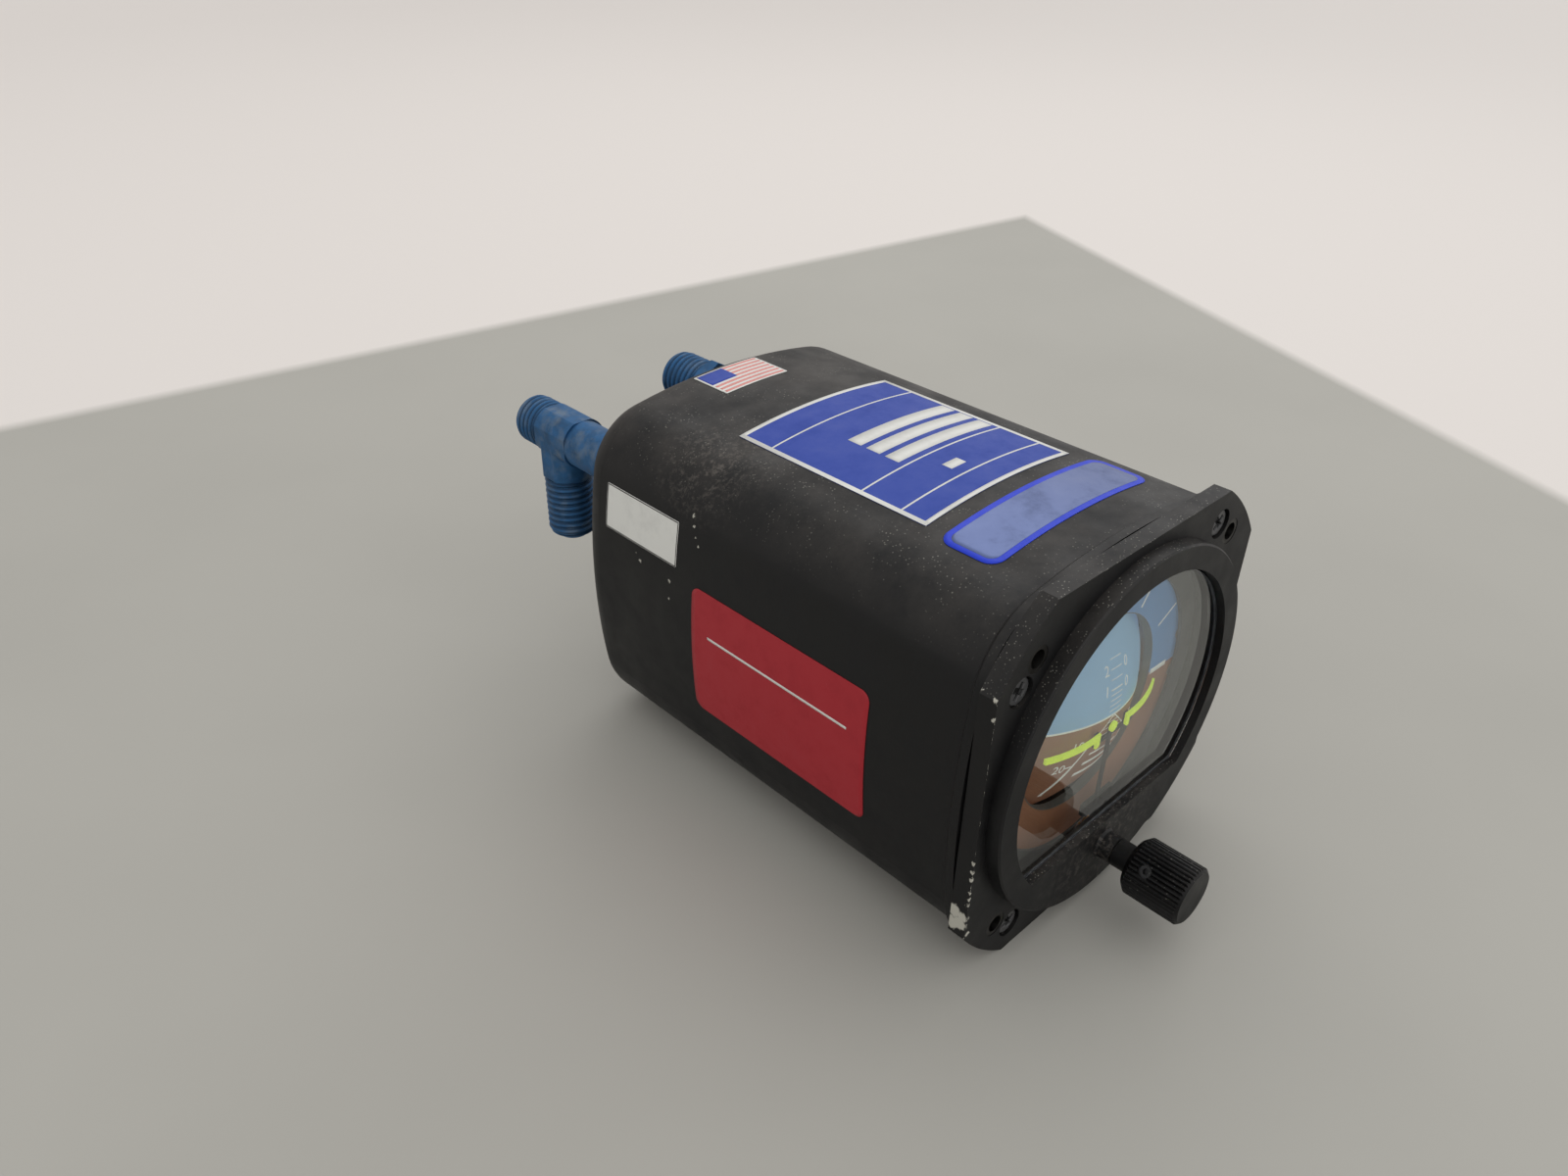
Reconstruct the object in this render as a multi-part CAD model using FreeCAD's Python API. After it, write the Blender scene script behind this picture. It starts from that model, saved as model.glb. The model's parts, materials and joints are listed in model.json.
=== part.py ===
import FreeCAD, Part
import math
import os

# Attitude indicator, 3 1/8 inch panel instrument.  Millimetres.
# Origin: centre of the flange's front face, which seats against the panel.
# The dial faces -Y, the fittings are at +Y, up is +Z.

os.makedirs("parts", exist_ok=True)

# ---- flange, ring and window -------------------------------------------------
HOLE_PITCH = 62.865        # 2.475 inch square of mounting holes
HOLE_EDGE = 10.2175        # from a hole's centre to the side of the flange
CORNER_CUT = 8.842         # what the round blank takes off each corner
FLANGE_T = 3.7
RING_EDGE = 2.28           # from the side of the flange to the raised ring
RING_FACE = 5.07           # width of the ring's front face
RING_T = 3.1
RING_CHAMFER = 0.35
LEDGE = 2.3                # ledge that the glass sits on
SILL_LEDGE = 2.0
KNOB_EDGE = 12.85          # from the side of the flange to the knob's axis
SILL_RISE = 6.5            # from the knob's axis up to the window's straight edge
MOUNT_R = 1.8
INSERT_R = 2.7             # threaded insert round each mounting hole
INSERT_L = 9.0
SCREW_IN = 5.13            # each case screw lies this far along from a hole
SCREW_OUT = 3.57           # and this far outside it
SCREW_R = 1.45
SCREW_FIT = 0.15
HEAD_R = 2.75
HEAD_SINK = 0.5
HEAD_T = 1.7
HEAD_ROUND = 0.5
CBORE_R = 3.1
SPIGOT_WALL = 1.8          # pilot that enters the case
SPIGOT_END = 9.0
PILOT_FIT = 0.15

MOUNT = HOLE_PITCH / 2
FLANGE_W = HOLE_PITCH + 2 * HOLE_EDGE
FLANGE_R = FLANGE_W / math.sqrt(2) - CORNER_CUT
RING_R = FLANGE_W / 2 - RING_EDGE
WINDOW_R = RING_R - RING_FACE
POCKET_R = WINDOW_R + LEDGE
SPIGOT_R = POCKET_R + SPIGOT_WALL
KNOB_Z = KNOB_EDGE - FLANGE_W / 2
SILL_Z = KNOB_Z + SILL_RISE
POCKET_Z = SILL_Z - SILL_LEDGE

# ---- case --------------------------------------------------------------------
GASKET_T = 0.5
GASKET_FIT = 0.2
CASE_Y1 = 117.0
SIDE_INSET = 0.45          # flange beyond the case at the sides
TOP_INSET = 1.15           # and at the top and bottom
SIDE_R = 155.0             # shallow arcs of the four sides
CORNER_R = 16.0
REAR_ROUND = 7.0
WALL = 2.2
RIM_L = 2.6                # raised bead at the front edge
RIM_OUT = 0.9
BOSS_R = 3.8
BOSS_L = 13.0
BOSS_TAPER = 5.0
BOSS_TIP = 0.8

CASE_Y0 = FLANGE_T + GASKET_T
CASE_HW = FLANGE_W / 2 - SIDE_INSET
CASE_HH = FLANGE_W / 2 - TOP_INSET

# ---- window stack ------------------------------------------------------------
SEAL_T = 0.3
SEAL_SHOW = 0.7            # seal seen inside the window's edge
GLASS_T = 1.8
FIT = 0.3                  # gap between the glass and its pocket
SPACER_END = 6.7
SPACER_FIT = 0.1
SPACER_WALL = 1.5
MASK_T = 0.8
MASK_SHOW = 4.1            # mask seen inside the window's edge
SNAP_T = 0.8
SNAP_WALL = 1.1
CLEAR_SILL = 1.5           # spacers stop above the knob mechanism
INDEX_T = 0.4
INDEX_IN = 3.2
INDEX_OUT = 1.6
INDEX_HALF = 2.4

SEAL_IN = WINDOW_R - SEAL_SHOW
GLASS_Y1 = SEAL_T + GLASS_T
SPACER_R = POCKET_R - SPACER_FIT
MASK_IN = WINDOW_R - MASK_SHOW
MASK_END = SPACER_END + MASK_T
SNAP_IN = POCKET_R - SNAP_WALL

# ---- adjusting knob ----------------------------------------------------------
BOSS_OUT_R = 3.0           # boss of the bezel behind the knob
BOSS_END = -6.3
BOSS_FOOT = 0.5            # its cone against the ring
BUSH_R = 2.2
BUSH_GAP = 0.35
SHAFT_R = 1.5
SHAFT_FIT = 0.2
RUN = 0.04                 # radial running clearance
KNOB_R = 6.35
KNOB_ROOT = 5.95
FLUTES = 40
LAND = 0.36                # share of a flute's pitch left at full radius
ROOT_AT = 0.68
KNOB_Y0 = -23.7
KNOB_Y1 = -10.7
KNOB_CAP = 1.5             # closed front of the knob
FRONT_CHAMFER = 0.7
REAR_CHAMFER = 1.1
NECK_GAP = 0.35
SET_Y = -14.9
SET_R = 1.35
SET_SINK = 1.1
SET_ANGLE = 140.0          # direction of the set screw, from +X towards +Z
SOCKET_R = 0.7
SOCKET_DEEP = 1.3
GEAR_GAP = 0.25            # from the flange's rear face to the gears
GEAR_T = 0.9
MODULE = 0.5
PINION_N = 12
ADDENDUM = 0.9
DEDENDUM = 1.2
PRESSURE = 20.0
BACKLASH = 0.12
CLIP_GROOVE = 0.35
CLIP_OUT = 0.9
CLIP_T = 0.4
CLIP_GAP = 0.1
CLIP_HALF = 0.6

NECK_Y1 = BOSS_END - NECK_GAP
GEAR_Y0 = FLANGE_T + GEAR_GAP
GEAR_Y1 = GEAR_Y0 + GEAR_T
PITCH_X = MODULE * PINION_N / 2

# ---- miniature aircraft ------------------------------------------------------
SYMBOL_GAP = 0.25          # from the glass to the symbol
SYMBOL_T = 0.5
BRACKET_T = 0.4
SLIDE_TRAVEL = 2.0
TRAVEL_SPARE = 0.2
SLIDE_BACK = 1.2           # body of the rack behind its teeth, in modules
SLIDE_EDGE = 1.7
SLIDE_LOW = 4.0
SLIDE_HIGH = 3.9
FOOT_HALF = 2.4            # foot that stands in the window behind the sill
FOOT_H = 1.6
FOOT_CLEAR = 0.3
STEM_HALF = 0.6
WING_TIP = 18.6
WING_ROOT = 5.1
WING_H = 1.35
ROOT_HALF = 0.6
TAIL_DROP = 2.5
TAIL_TURN = 0.5
BEND_X = 5.9               # outside this the wings curve back
BEND_R = 32.0
DOT_R = 1.15
BAR_H = 0.9                # cross bar of the bracket under the wings
PIN_R = 0.75
PIN_X = 6.2
PIN_LOW = -0.6             # guide pins, from the knob's axis
PIN_HIGH = 1.8
PIN_DEEP = 2.0
PIN_COLLAR = 0.35
PIN_HEAD = 0.45
PIN_HEAD_T = 0.45
PIN_GAP = 0.15

SYMBOL_Y0 = GLASS_Y1 + SYMBOL_GAP
BRACKET_Y0 = SYMBOL_Y0 + SYMBOL_T
BRACKET_Y1 = BRACKET_Y0 + BRACKET_T
PINS = (KNOB_Z + PIN_LOW, KNOB_Z + PIN_HIGH)
FOOT_Z = POCKET_Z + SLIDE_TRAVEL + FOOT_CLEAR

# ---- pitch assembly ----------------------------------------------------------
SWEEP_GAP = 1.1            # between the case and all that turns in it
DRUM_INSET = 1.7           # drum inside that sweep
DRUM_FRONT = 0.3           # between the bracket and the drum
DRUM_T = 0.8
DRUM_SIDE_GAP = 2.2        # between the drum's walls and the gimbal arms
DISC_T = 1.2
DRUM_ARC = 97.0            # degrees of drum above and below the front
DRUM_HUB = 8.0
PITCH_LIMIT = 60.0
STOP_R = 18.0
STOP_PIN_R = 0.9
STOP_SLOT = 0.25
PIVOT_R = 1.5
PIVOT_OUT = 5.0
PIVOT_STEP = 0.5
SHOULDER_R = 3.0
AIR_R = 0.8
CUP_R = 24.0
CUP_WALL = 1.5
CUP_HZ = 11.5
CUP_FLOOR = 1.6
CUP_HUB = 6.8
SPLIT_Z = 7.4
LUG_OUT = 1.0              # lug centres outside the cup's wall
LUG_R = 2.2
LUG_SCREW = 1.0
LUG_HEAD = 1.9
LUG_HEAD_T = 1.2
BEAR_R = 4.0               # rotor bearings
BEAR_H = 2.5
BEAR_WALL = 2.0
BEAR_STEP = 0.5
VENT_R = 1.4
VENT_AT = 8.2
NOZZLE_R = 1.4
JET_R = 0.5
JET_OFF = 1.2
JET_LEAN = 0.45
SIDE_SCREW_AT = 5.2        # screws that hold the drum to the housing
SIDE_SCREW_R = 0.85
SIDE_SCREW_L = 3.0
SIDE_HEAD_R = 1.5
PAD_HX = 7.0               # pad and bar of the balance weight
PAD_T = 1.2
WEIGHT_HX = 8.0
WEIGHT_HZ = 4.0
WEIGHT_T = 3.6
WEIGHT_ROUND = 1.0
STUD_X = 4.5
STUD_R = 1.0
STUD_HEAD = 1.9
STUD_HEAD_T = 1.2
STUD_FIT = 0.1

SWEEP_R = min(CASE_HW, CASE_HH) - WALL - SWEEP_GAP
DRUM_R = SWEEP_R - DRUM_INSET
PITCH_Y = BRACKET_Y1 + DRUM_FRONT + DRUM_R
STOP_Y = PITCH_Y - STOP_R

# ---- roll gimbal -------------------------------------------------------------
DIAL_GAP = 0.5             # from the mask to the dial ring
DIAL_T = 1.2
DIAL_EDGE = 1.1            # dial ring inside the snap ring
DIAL_IN = 21.5             # opening of the dial ring and its lip
LIP_WALL = 0.9
LIP_L = 1.8
ARM_EDGE = 0.6
ARM_T = 4.0
ARM_HZ = 8.0
ARM_EYE = 10.5             # round end of each arm at the pitch axis
ARM_SLOT = 3.4
RING_SCREW_Z = 4.8
RING_SCREW_R = 0.85
RING_HEAD_R = 1.6
RING_HEAD_T = 0.75
RING_SCREW_L = 5.0
BAR_GAP = 2.0              # from the drum to the rear bar
BAR_T = 4.0
BRACE = 5.0
BRACE_HZ = 3.0
HUB_R = 9.0
HUB_GAP = 0.8
TRUNNION_R = 4.0
TRUNNION_BORE = 2.0
TRUNNION_FLANGE = 1.6
PORT_R = 1.2
TRUNNION_BACK = 2.6        # from the rear wall to the trunnion's end
NUT_R = 6.2
NUT_GAP = 0.3
NUT_STEP = 0.5
NUT_SLOT = 0.8
NUT_DEEP = 1.4
BALL_OUT = 8.0             # roll bearings
BALL_W = 5.0
BALL_PITCH = 15.0
BALL_BACK = 25.0           # from the rear wall to the front bearing
HOUSE_R = 14.0             # bearing housing on the rear wall
HOUSE_LIP = 0.8
CAGE_WALL = 1.2

DIAL_Y0 = MASK_END + DIAL_GAP
GIMBAL_Y0 = DIAL_Y0 + DIAL_T
DIAL_R = SNAP_IN - DIAL_EDGE
ARM_X1 = DIAL_R - ARM_EDGE
ARM_X0 = ARM_X1 - ARM_T
ARM_MID = (ARM_X0 + ARM_X1) / 2
RING_SCREWS = [(sx * ARM_MID, sz * RING_SCREW_Z) for sx in (1, -1) for sz in (1, -1)]
DRUM_HX = ARM_X0 - DRUM_SIDE_GAP
BALL_Y = (CASE_Y1 - BALL_BACK, CASE_Y1 - BALL_BACK + BALL_PITCH)
HOUSE_Y0 = BALL_Y[0] - HOUSE_LIP
BAR_Y0 = PITCH_Y + DRUM_R + BAR_GAP
BAR_Y1 = BAR_Y0 + BAR_T
HUB_END = HOUSE_Y0 - HUB_GAP
TRUNNION_END = CASE_Y1 - TRUNNION_BACK

# ---- rotor -------------------------------------------------------------------
ROTOR_GAP = 2.0            # between the housing's wall and the rotor
ROTOR_HZ = 6.3
ROTOR_CHAMFER = 0.6
RIM_WALL = 7.5
HUB_OUT = 4.6
WEB_HZ = 2.0
WEB_HOLE = 1.8
WEB_HOLES = 6
WEB_HOLE_AT = 8.8
BUCKETS = 24
BUCKET_R = 1.8
BUCKET_HZ = 2.6
COLLAR = 0.8
END_GAP = 0.15

ROTOR_R = CUP_R - CUP_WALL - ROTOR_GAP
RIM_IN = ROTOR_R - RIM_WALL

# ---- pendulous vanes ---------------------------------------------------------
BLOCK_H = 9.0
BLOCK_DEEP = 14.5          # below the housing
BLOCK_WALL = 2.0
BLOCK_FLOOR = 1.6
BLOCK_CHAMFER = 1.2
VANE_T = 0.6
VANE_GAP = 0.4
VANE_R = 0.6
CROSS_DROP = 15.0          # vane shafts below the pitch axis
FORE_DROP = 18.0
VANE_TOP = 1.3
VANE_L = 8.6
VANE_HW = 3.0
VANE_END = 0.5
SLOT_X = (2.2, 3.6)        # exhaust slots beside the shafts
CROSS_SLOT = (18.8, 22.6)
FORE_SLOT = (21.2, 24.4)

# ---- rear fittings and cap -----------------------------------------------------
TUBE_R = 5.5               # 7/16-20 flare thread
RELIEF = 0.6
PIPE_R = 5.0
PIPE_L = 8.0
PAD_WALL = 1.5             # boss round each pipe thread
BORE_R = 2.2
NOSE_R = 4.7
NOSE_TIP = 3.6
NOSE_L = 1.4
TEE_IN = 13.7              # tee in from the side and the top of the case
TEE_DOWN = 19.0
TEE_Y = 140.0
TEE_RUN = 14.2
TEE_BRANCH = 27.0
NECK_R = 5.7
FORGE_R = 6.2              # forged limbs and their flats
FORGE_FLAT = 5.75
FORGE_NECK = 7.5
FORGE_RUN = 4.6
FORGE_BRANCH = 10.4
INLET_X = 1.5
INLET_DOWN = 9.1
INLET_Y1 = 133.0
HEX_AF = 12.7
HEX_T = 3.5
HEX_BEVEL = 1.0
DUCT_BACK = 15.0           # cross duct, forward of the rear wall
DUCT_R = 2.6
DUCT_WALL = 0.8
DUCT_FLANGE = 0.5
FILTER_T = 0.5
CAP_EDGE = 0.6             # rear cap inside the housing
CAP_T = 2.2
CAP_FIT = 0.1
CAP_SPIGOT = 1.8
CAP_CHAMFER = 0.6
CAP_A = 7.9
CAP_SCREW_R = 0.9
CAP_HEAD_R = 1.9
CAP_HEAD_T = 1.3
CAP_SCREW_L = 6.0
SLOT_HALF = 0.25

TEE_X = TEE_IN - CASE_HW
TEE_Z = CASE_HH - TEE_DOWN
INLET_Z = CASE_HH - INLET_DOWN
HEX_END = CASE_Y1 + HEX_T
DUCT_Y = CASE_Y1 - DUCT_BACK

V = FreeCAD.Vector
X, Y, Z = V(1, 0, 0), V(0, 1, 0), V(0, 0, 1)
ORIGIN = V(0, 0, 0)
KNOB = V(0, 0, KNOB_Z)
PIVOT = V(0, PITCH_Y, 0)
SIDES = (-1, 1)
OVER = 1.0                 # how far a cutting tool reaches past what it cuts
LAP = 0.1                  # how far fused pieces run into each other


def cyl(r, a, b, axis=Y, at=ORIGIN):
    """Cylinder of radius r from a to b along an axis through the point at."""
    return Part.makeCylinder(r, b - a, at + axis * a, axis)


def cone(r0, r1, a, b, axis=Y, at=ORIGIN):
    return Part.makeCone(r0, r1, b - a, at + axis * a, axis)


def tube(outer, inner, a, b, axis=Y, at=ORIGIN):
    return cyl(outer, a, b, axis, at).cut(cyl(inner, a, b, axis, at))


def box(x0, x1, y0, y1, z0, z1):
    """Box between two corners, which may come in either order."""
    (x0, x1), (y0, y1), (z0, z1) = sorted((x0, x1)), sorted((y0, y1)), sorted((z0, z1))
    return Part.makeBox(x1 - x0, y1 - y0, z1 - z0, V(x0, y0, z0))


def fuse(shapes):
    first = shapes[0]
    return first.multiFuse(shapes[1:]).removeSplitter() if len(shapes) > 1 else first


def cut_all(body, cuts):
    for cut in cuts:
        body = body.cut(cut)
    return body


def polygon(points, depth):
    """Flat outline extruded by a vector."""
    wire = Part.makePolygon(points + [points[0]])
    return Part.Face(wire).extrude(depth)


def around(shape, count, axis=Y, at=ORIGIN):
    """Copies of a shape, evenly spaced about an axis."""
    out = []
    for i in range(count):
        copy = shape.copy()
        copy.rotate(at, axis, 360.0 * i / count)
        out.append(copy)
    return out


def corners(a, b):
    """The four places of (a, b) turned in quarter turns about Y."""
    return [V(a, 0, b), V(-b, 0, a), V(-a, 0, -b), V(b, 0, -a)]


def polar(r, degrees, u=X, v=Z):
    """Offset of length r at an angle from u towards v."""
    a = math.radians(degrees)
    return u * (r * math.cos(a)) + v * (r * math.sin(a))


def ring_edges(shape, y):
    """Edges of a shape that lie wholly in the plane at y."""
    return [e for e in shape.Edges if abs(e.BoundBox.YMin - y) < 1e-4 and abs(e.BoundBox.YMax - y) < 1e-4]


def section(y0, y1, grow=0.0):
    """Case cross-section, four shallow arcs joined by corner arcs, extruded."""
    rs, rc = SIDE_R + grow, CORNER_R + grow
    cx, cz = SIDE_R - CASE_HW, SIDE_R - CASE_HH
    # a corner's centre is equally far from the centres of the two side arcs
    between = math.hypot(cx, cz)
    height = math.sqrt((SIDE_R - CORNER_R) ** 2 - (between / 2) ** 2)
    centre = V(height * cz / between - cx / 2, 0, height * cx / between - cz / 2)
    side = (centre + V(cx, 0, 0)).normalize()
    top = (centre + V(0, 0, cz)).normalize()
    p_side = centre + side * rc
    p_top = centre + top * rc
    p_mid = centre + (side + top).normalize() * rc
    half_w, half_h = rs - cx, rs - cz

    def flip(p, sx, sz):
        return V(p.x * sx, y0, p.z * sz)

    arcs = []
    for sx, sz in ((1, 1), (-1, 1), (-1, -1), (1, -1)):
        arcs.append(Part.Arc(flip(p_side, sx, sz), flip(p_mid, sx, sz), flip(p_top, sx, sz)))
    for s in SIDES:
        arcs.append(Part.Arc(flip(p_top, 1, s), V(0, y0, s * half_h), flip(p_top, -1, s)))
        arcs.append(Part.Arc(flip(p_side, s, 1), V(s * half_w, y0, 0), flip(p_side, s, -1)))
    wire = Part.Wire(Part.__sortEdges__([arc.toShape() for arc in arcs]))
    return Part.Face(wire).extrude(V(0, y1 - y0, 0))


def d_plate(radius, chord, y0, y1):
    """Disc cut off straight below the height chord."""
    return cyl(radius, y0, y1).cut(box(-radius, radius, y0 - OVER, y1 + OVER, -2 * radius, chord))


def above_sill(shape):
    """Keep only what stands above the knob mechanism."""
    return shape.cut(box(-FLANGE_W, FLANGE_W, 0, CASE_Y1, -FLANGE_W, POCKET_Z + CLEAR_SILL))


SCREWS = corners(MOUNT - SCREW_IN, MOUNT + SCREW_OUT)
MOUNTS = corners(MOUNT, MOUNT)
CAP_SCREWS = corners(CAP_A, CAP_A)
PIPES = (V(TEE_X, 0, TEE_Z), V(INLET_X, 0, INLET_Z))
TEE, INLET = PIPES


# ---- bezel, seals and glass ----------------------------------------------------
def bezel():
    """Flange, raised ring and pilot in one casting, with the pocket for the glass."""
    plate = box(-FLANGE_W / 2, FLANGE_W / 2, 0, FLANGE_T, -FLANGE_W / 2, FLANGE_W / 2)
    plate = plate.common(cyl(FLANGE_R, 0, FLANGE_T))
    ring = cyl(RING_R, -RING_T, LAP)
    ring = ring.makeChamfer(RING_CHAMFER, ring_edges(ring, -RING_T))
    boss = cyl(BOSS_OUT_R, BOSS_END, 0, at=KNOB)
    foot = cone(BOSS_OUT_R, BOSS_OUT_R + BOSS_FOOT, -RING_T - BOSS_FOOT, -RING_T + LAP, at=KNOB)
    spigot = tube(SPIGOT_R, POCKET_R, FLANGE_T, SPIGOT_END)
    body = fuse([plate, ring, boss, foot, spigot])
    end = FLANGE_T + OVER
    cuts = [d_plate(WINDOW_R, SILL_Z, -RING_T - OVER, OVER), d_plate(POCKET_R, POCKET_Z, 0, end)]
    cuts.append(cyl(BUSH_R, BOSS_END + BUSH_GAP, end, at=KNOB))
    cuts.append(cyl(SHAFT_R + SHAFT_FIT, BOSS_END - OVER, 0, at=KNOB))
    cuts += [cyl(INSERT_R, -OVER, end, at=at) for at in MOUNTS]
    cuts += [cyl(SCREW_R + SCREW_FIT, -OVER, end, at=at) for at in SCREWS]
    cuts += [cyl(CBORE_R, -OVER, HEAD_SINK + HEAD_T, at=at) for at in SCREWS]
    cuts += [cyl(PIN_R, FLANGE_T - PIN_DEEP, end, at=V(PIN_X, 0, z)) for z in PINS]
    return cut_all(body, cuts)


def panel_inserts():
    return Part.makeCompound([tube(INSERT_R, MOUNT_R, LAP, INSERT_L, at=at) for at in MOUNTS])


def case_screws():
    out = []
    for at in SCREWS:
        head = cyl(HEAD_R, HEAD_SINK, HEAD_SINK + HEAD_T, at=at)
        head = head.makeFillet(HEAD_ROUND, ring_edges(head, HEAD_SINK))
        out.append(fuse([head, cyl(SCREW_R, HEAD_SINK + HEAD_T - LAP, BOSS_L, at=at)]))
    return Part.makeCompound(out)


def case_gasket():
    body = section(FLANGE_T, CASE_Y0, -GASKET_FIT)
    start, end = FLANGE_T - OVER, CASE_Y0 + OVER
    cuts = [cyl(SPIGOT_R + GASKET_FIT, start, end)]
    cuts += [cyl(INSERT_R + GASKET_FIT / 2, start, end, at=at) for at in MOUNTS]
    cuts += [cyl(SCREW_R + GASKET_FIT / 2, start, end, at=at) for at in SCREWS]
    return cut_all(body, cuts)


def window_gasket():
    outer = d_plate(POCKET_R - FIT, POCKET_Z + FIT, 0, SEAL_T)
    return outer.cut(d_plate(SEAL_IN, SILL_Z + SEAL_SHOW, -OVER, SEAL_T + OVER))


def window_glass():
    return d_plate(POCKET_R - FIT, POCKET_Z + FIT, SEAL_T, GLASS_Y1)


def glass_retainer():
    return above_sill(tube(SPACER_R, SPACER_R - SPACER_WALL, GLASS_Y1, SPACER_END))


def dial_mask():
    return tube(SPACER_R, MASK_IN, SPACER_END, MASK_END)


def mask_snap_ring():
    return above_sill(tube(POCKET_R, SNAP_IN, MASK_END, MASK_END + SNAP_T))


def roll_index():
    y0 = SPACER_END - INDEX_T
    tip, top = MASK_IN - INDEX_IN, MASK_IN + INDEX_OUT
    points = [V(0, y0, tip), V(INDEX_HALF, y0, top), V(-INDEX_HALF, y0, top)]
    return polygon(points, V(0, INDEX_T, 0))


# ---- case -----------------------------------------------------------------------
def case_outside():
    """Drawn can with its rounded rear edge and the bead round the front."""
    can = section(CASE_Y0, CASE_Y1)
    can = can.makeFillet(REAR_ROUND, ring_edges(can, CASE_Y1))
    rim = section(CASE_Y0, CASE_Y0 + RIM_L, RIM_OUT)
    rim = rim.makeChamfer(RIM_OUT * (1 - LAP), ring_edges(rim, CASE_Y0 + RIM_L))
    pad = cyl(PIPE_R + PAD_WALL, CASE_Y1 - REAR_ROUND, CASE_Y1, at=INLET)
    return fuse([can, rim, pad])


def case_shell():
    outer = case_outside()
    inner = section(CASE_Y0 - OVER, CASE_Y1 - WALL, -WALL)
    inner = inner.makeFillet(REAR_ROUND - WALL, ring_edges(inner, CASE_Y1 - WALL))
    boss_end = CASE_Y0 + BOSS_L
    keep = []
    for at in MOUNTS + SCREWS:
        keep.append(cyl(BOSS_R, CASE_Y0, boss_end, at=at))
        keep.append(cone(BOSS_R, BOSS_TIP, boss_end, boss_end + BOSS_TAPER, at=at))
    keep.append(cyl(HOUSE_R, HOUSE_Y0, CASE_Y1 - OVER))
    keep += [cyl(PIPE_R + PAD_WALL + OVER, CASE_Y1 - PIPE_L, CASE_Y1 - OVER, at=at) for at in PIPES]
    body = fuse([outer.cut(inner), fuse(keep).common(outer)])
    start, end = CASE_Y0 - OVER, CASE_Y1 + OVER
    cuts = [cyl(SPIGOT_R + PILOT_FIT, start, SPIGOT_END + LAP)]
    cuts += [cyl(INSERT_R, start, INSERT_L, at=at) for at in MOUNTS]
    cuts += [cyl(MOUNT_R, start, boss_end, at=at) for at in MOUNTS]
    cuts += [cyl(SCREW_R, start, BOSS_L, at=at) for at in SCREWS]
    cuts.append(cyl(BALL_OUT, BALL_Y[0], end))
    cuts.append(cyl(TRUNNION_R + HOUSE_LIP, HOUSE_Y0 - OVER, BALL_Y[0] + OVER))
    cuts += [cyl(PIPE_R, CASE_Y1 - PIPE_L - OVER, end, at=at) for at in PIPES]
    cuts.append(cyl(DUCT_R, BALL_OUT - OVER, HOUSE_R + OVER, Z, V(INLET_X, DUCT_Y, 0)))
    cuts += [cyl(CAP_SCREW_R, CASE_Y1 - CAP_SCREW_L, end, at=at) for at in CAP_SCREWS]
    return cut_all(body, cuts)


def air_duct():
    """Elbow tube from the inlet fitting to the bearing housing."""
    low = V(INLET_X, DUCT_Y, 0)
    reach = CASE_Y1 - PIPE_L - OVER

    def path(r):
        limbs = [cyl(r, DUCT_Y, reach, at=INLET), cyl(r, BALL_OUT + OVER, INLET_Z, Z, low)]
        return fuse(limbs + [Part.makeSphere(r, low + V(0, 0, INLET_Z))])

    bore = DUCT_R - DUCT_WALL
    flange = tube(PIPE_R - FIT, DUCT_R, reach, reach + DUCT_FLANGE, at=INLET)
    body = fuse([path(DUCT_R), flange]).cut(path(bore))
    return body.cut(cyl(bore, reach - OVER, reach + OVER, at=INLET))


def rear_cap():
    end = CASE_Y1 + CAP_T
    cap = cyl(HOUSE_R - CAP_EDGE, CASE_Y1, end)
    cap = cap.makeChamfer(CAP_CHAMFER, ring_edges(cap, end))
    body = fuse([cap, cyl(BALL_OUT - CAP_FIT, CASE_Y1 - CAP_SPIGOT, CASE_Y1 + LAP)])
    hole = CAP_SCREW_R + 2 * CAP_FIT
    return cut_all(body, [cyl(hole, CASE_Y1 - OVER, end + OVER, at=at) for at in CAP_SCREWS])


def rear_cap_screws():
    y0 = CASE_Y1 + CAP_T
    y1 = y0 + CAP_HEAD_T
    out = []
    for at in CAP_SCREWS:
        head = cyl(CAP_HEAD_R, y0, y1, at=at)
        head = head.makeFillet(CAP_HEAD_T / 2, ring_edges(head, y1))
        x0, x1 = at.x - CAP_HEAD_R - LAP, at.x + CAP_HEAD_R + LAP
        head = head.cut(box(x0, x1, y1 - CAP_HEAD_T / 2, y1 + OVER, at.z - SLOT_HALF, at.z + SLOT_HALF))
        out.append(fuse([head, cyl(CAP_SCREW_R, CASE_Y1 - CAP_SCREW_L, y0 + LAP, at=at)]))
    return Part.makeCompound(out)


# ---- rear fittings ----------------------------------------------------------------
def flare_end(a, b, axis, at):
    """Threaded end with its flare nose; the thread is drawn at its major size."""
    neck = cyl(TUBE_R - RELIEF, a, a + RELIEF + LAP, axis, at)
    thread = cyl(TUBE_R, a + RELIEF, b - NOSE_L, axis, at)
    return fuse([neck, thread, cone(NOSE_R, NOSE_TIP, b - NOSE_L, b, axis, at)])


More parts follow.
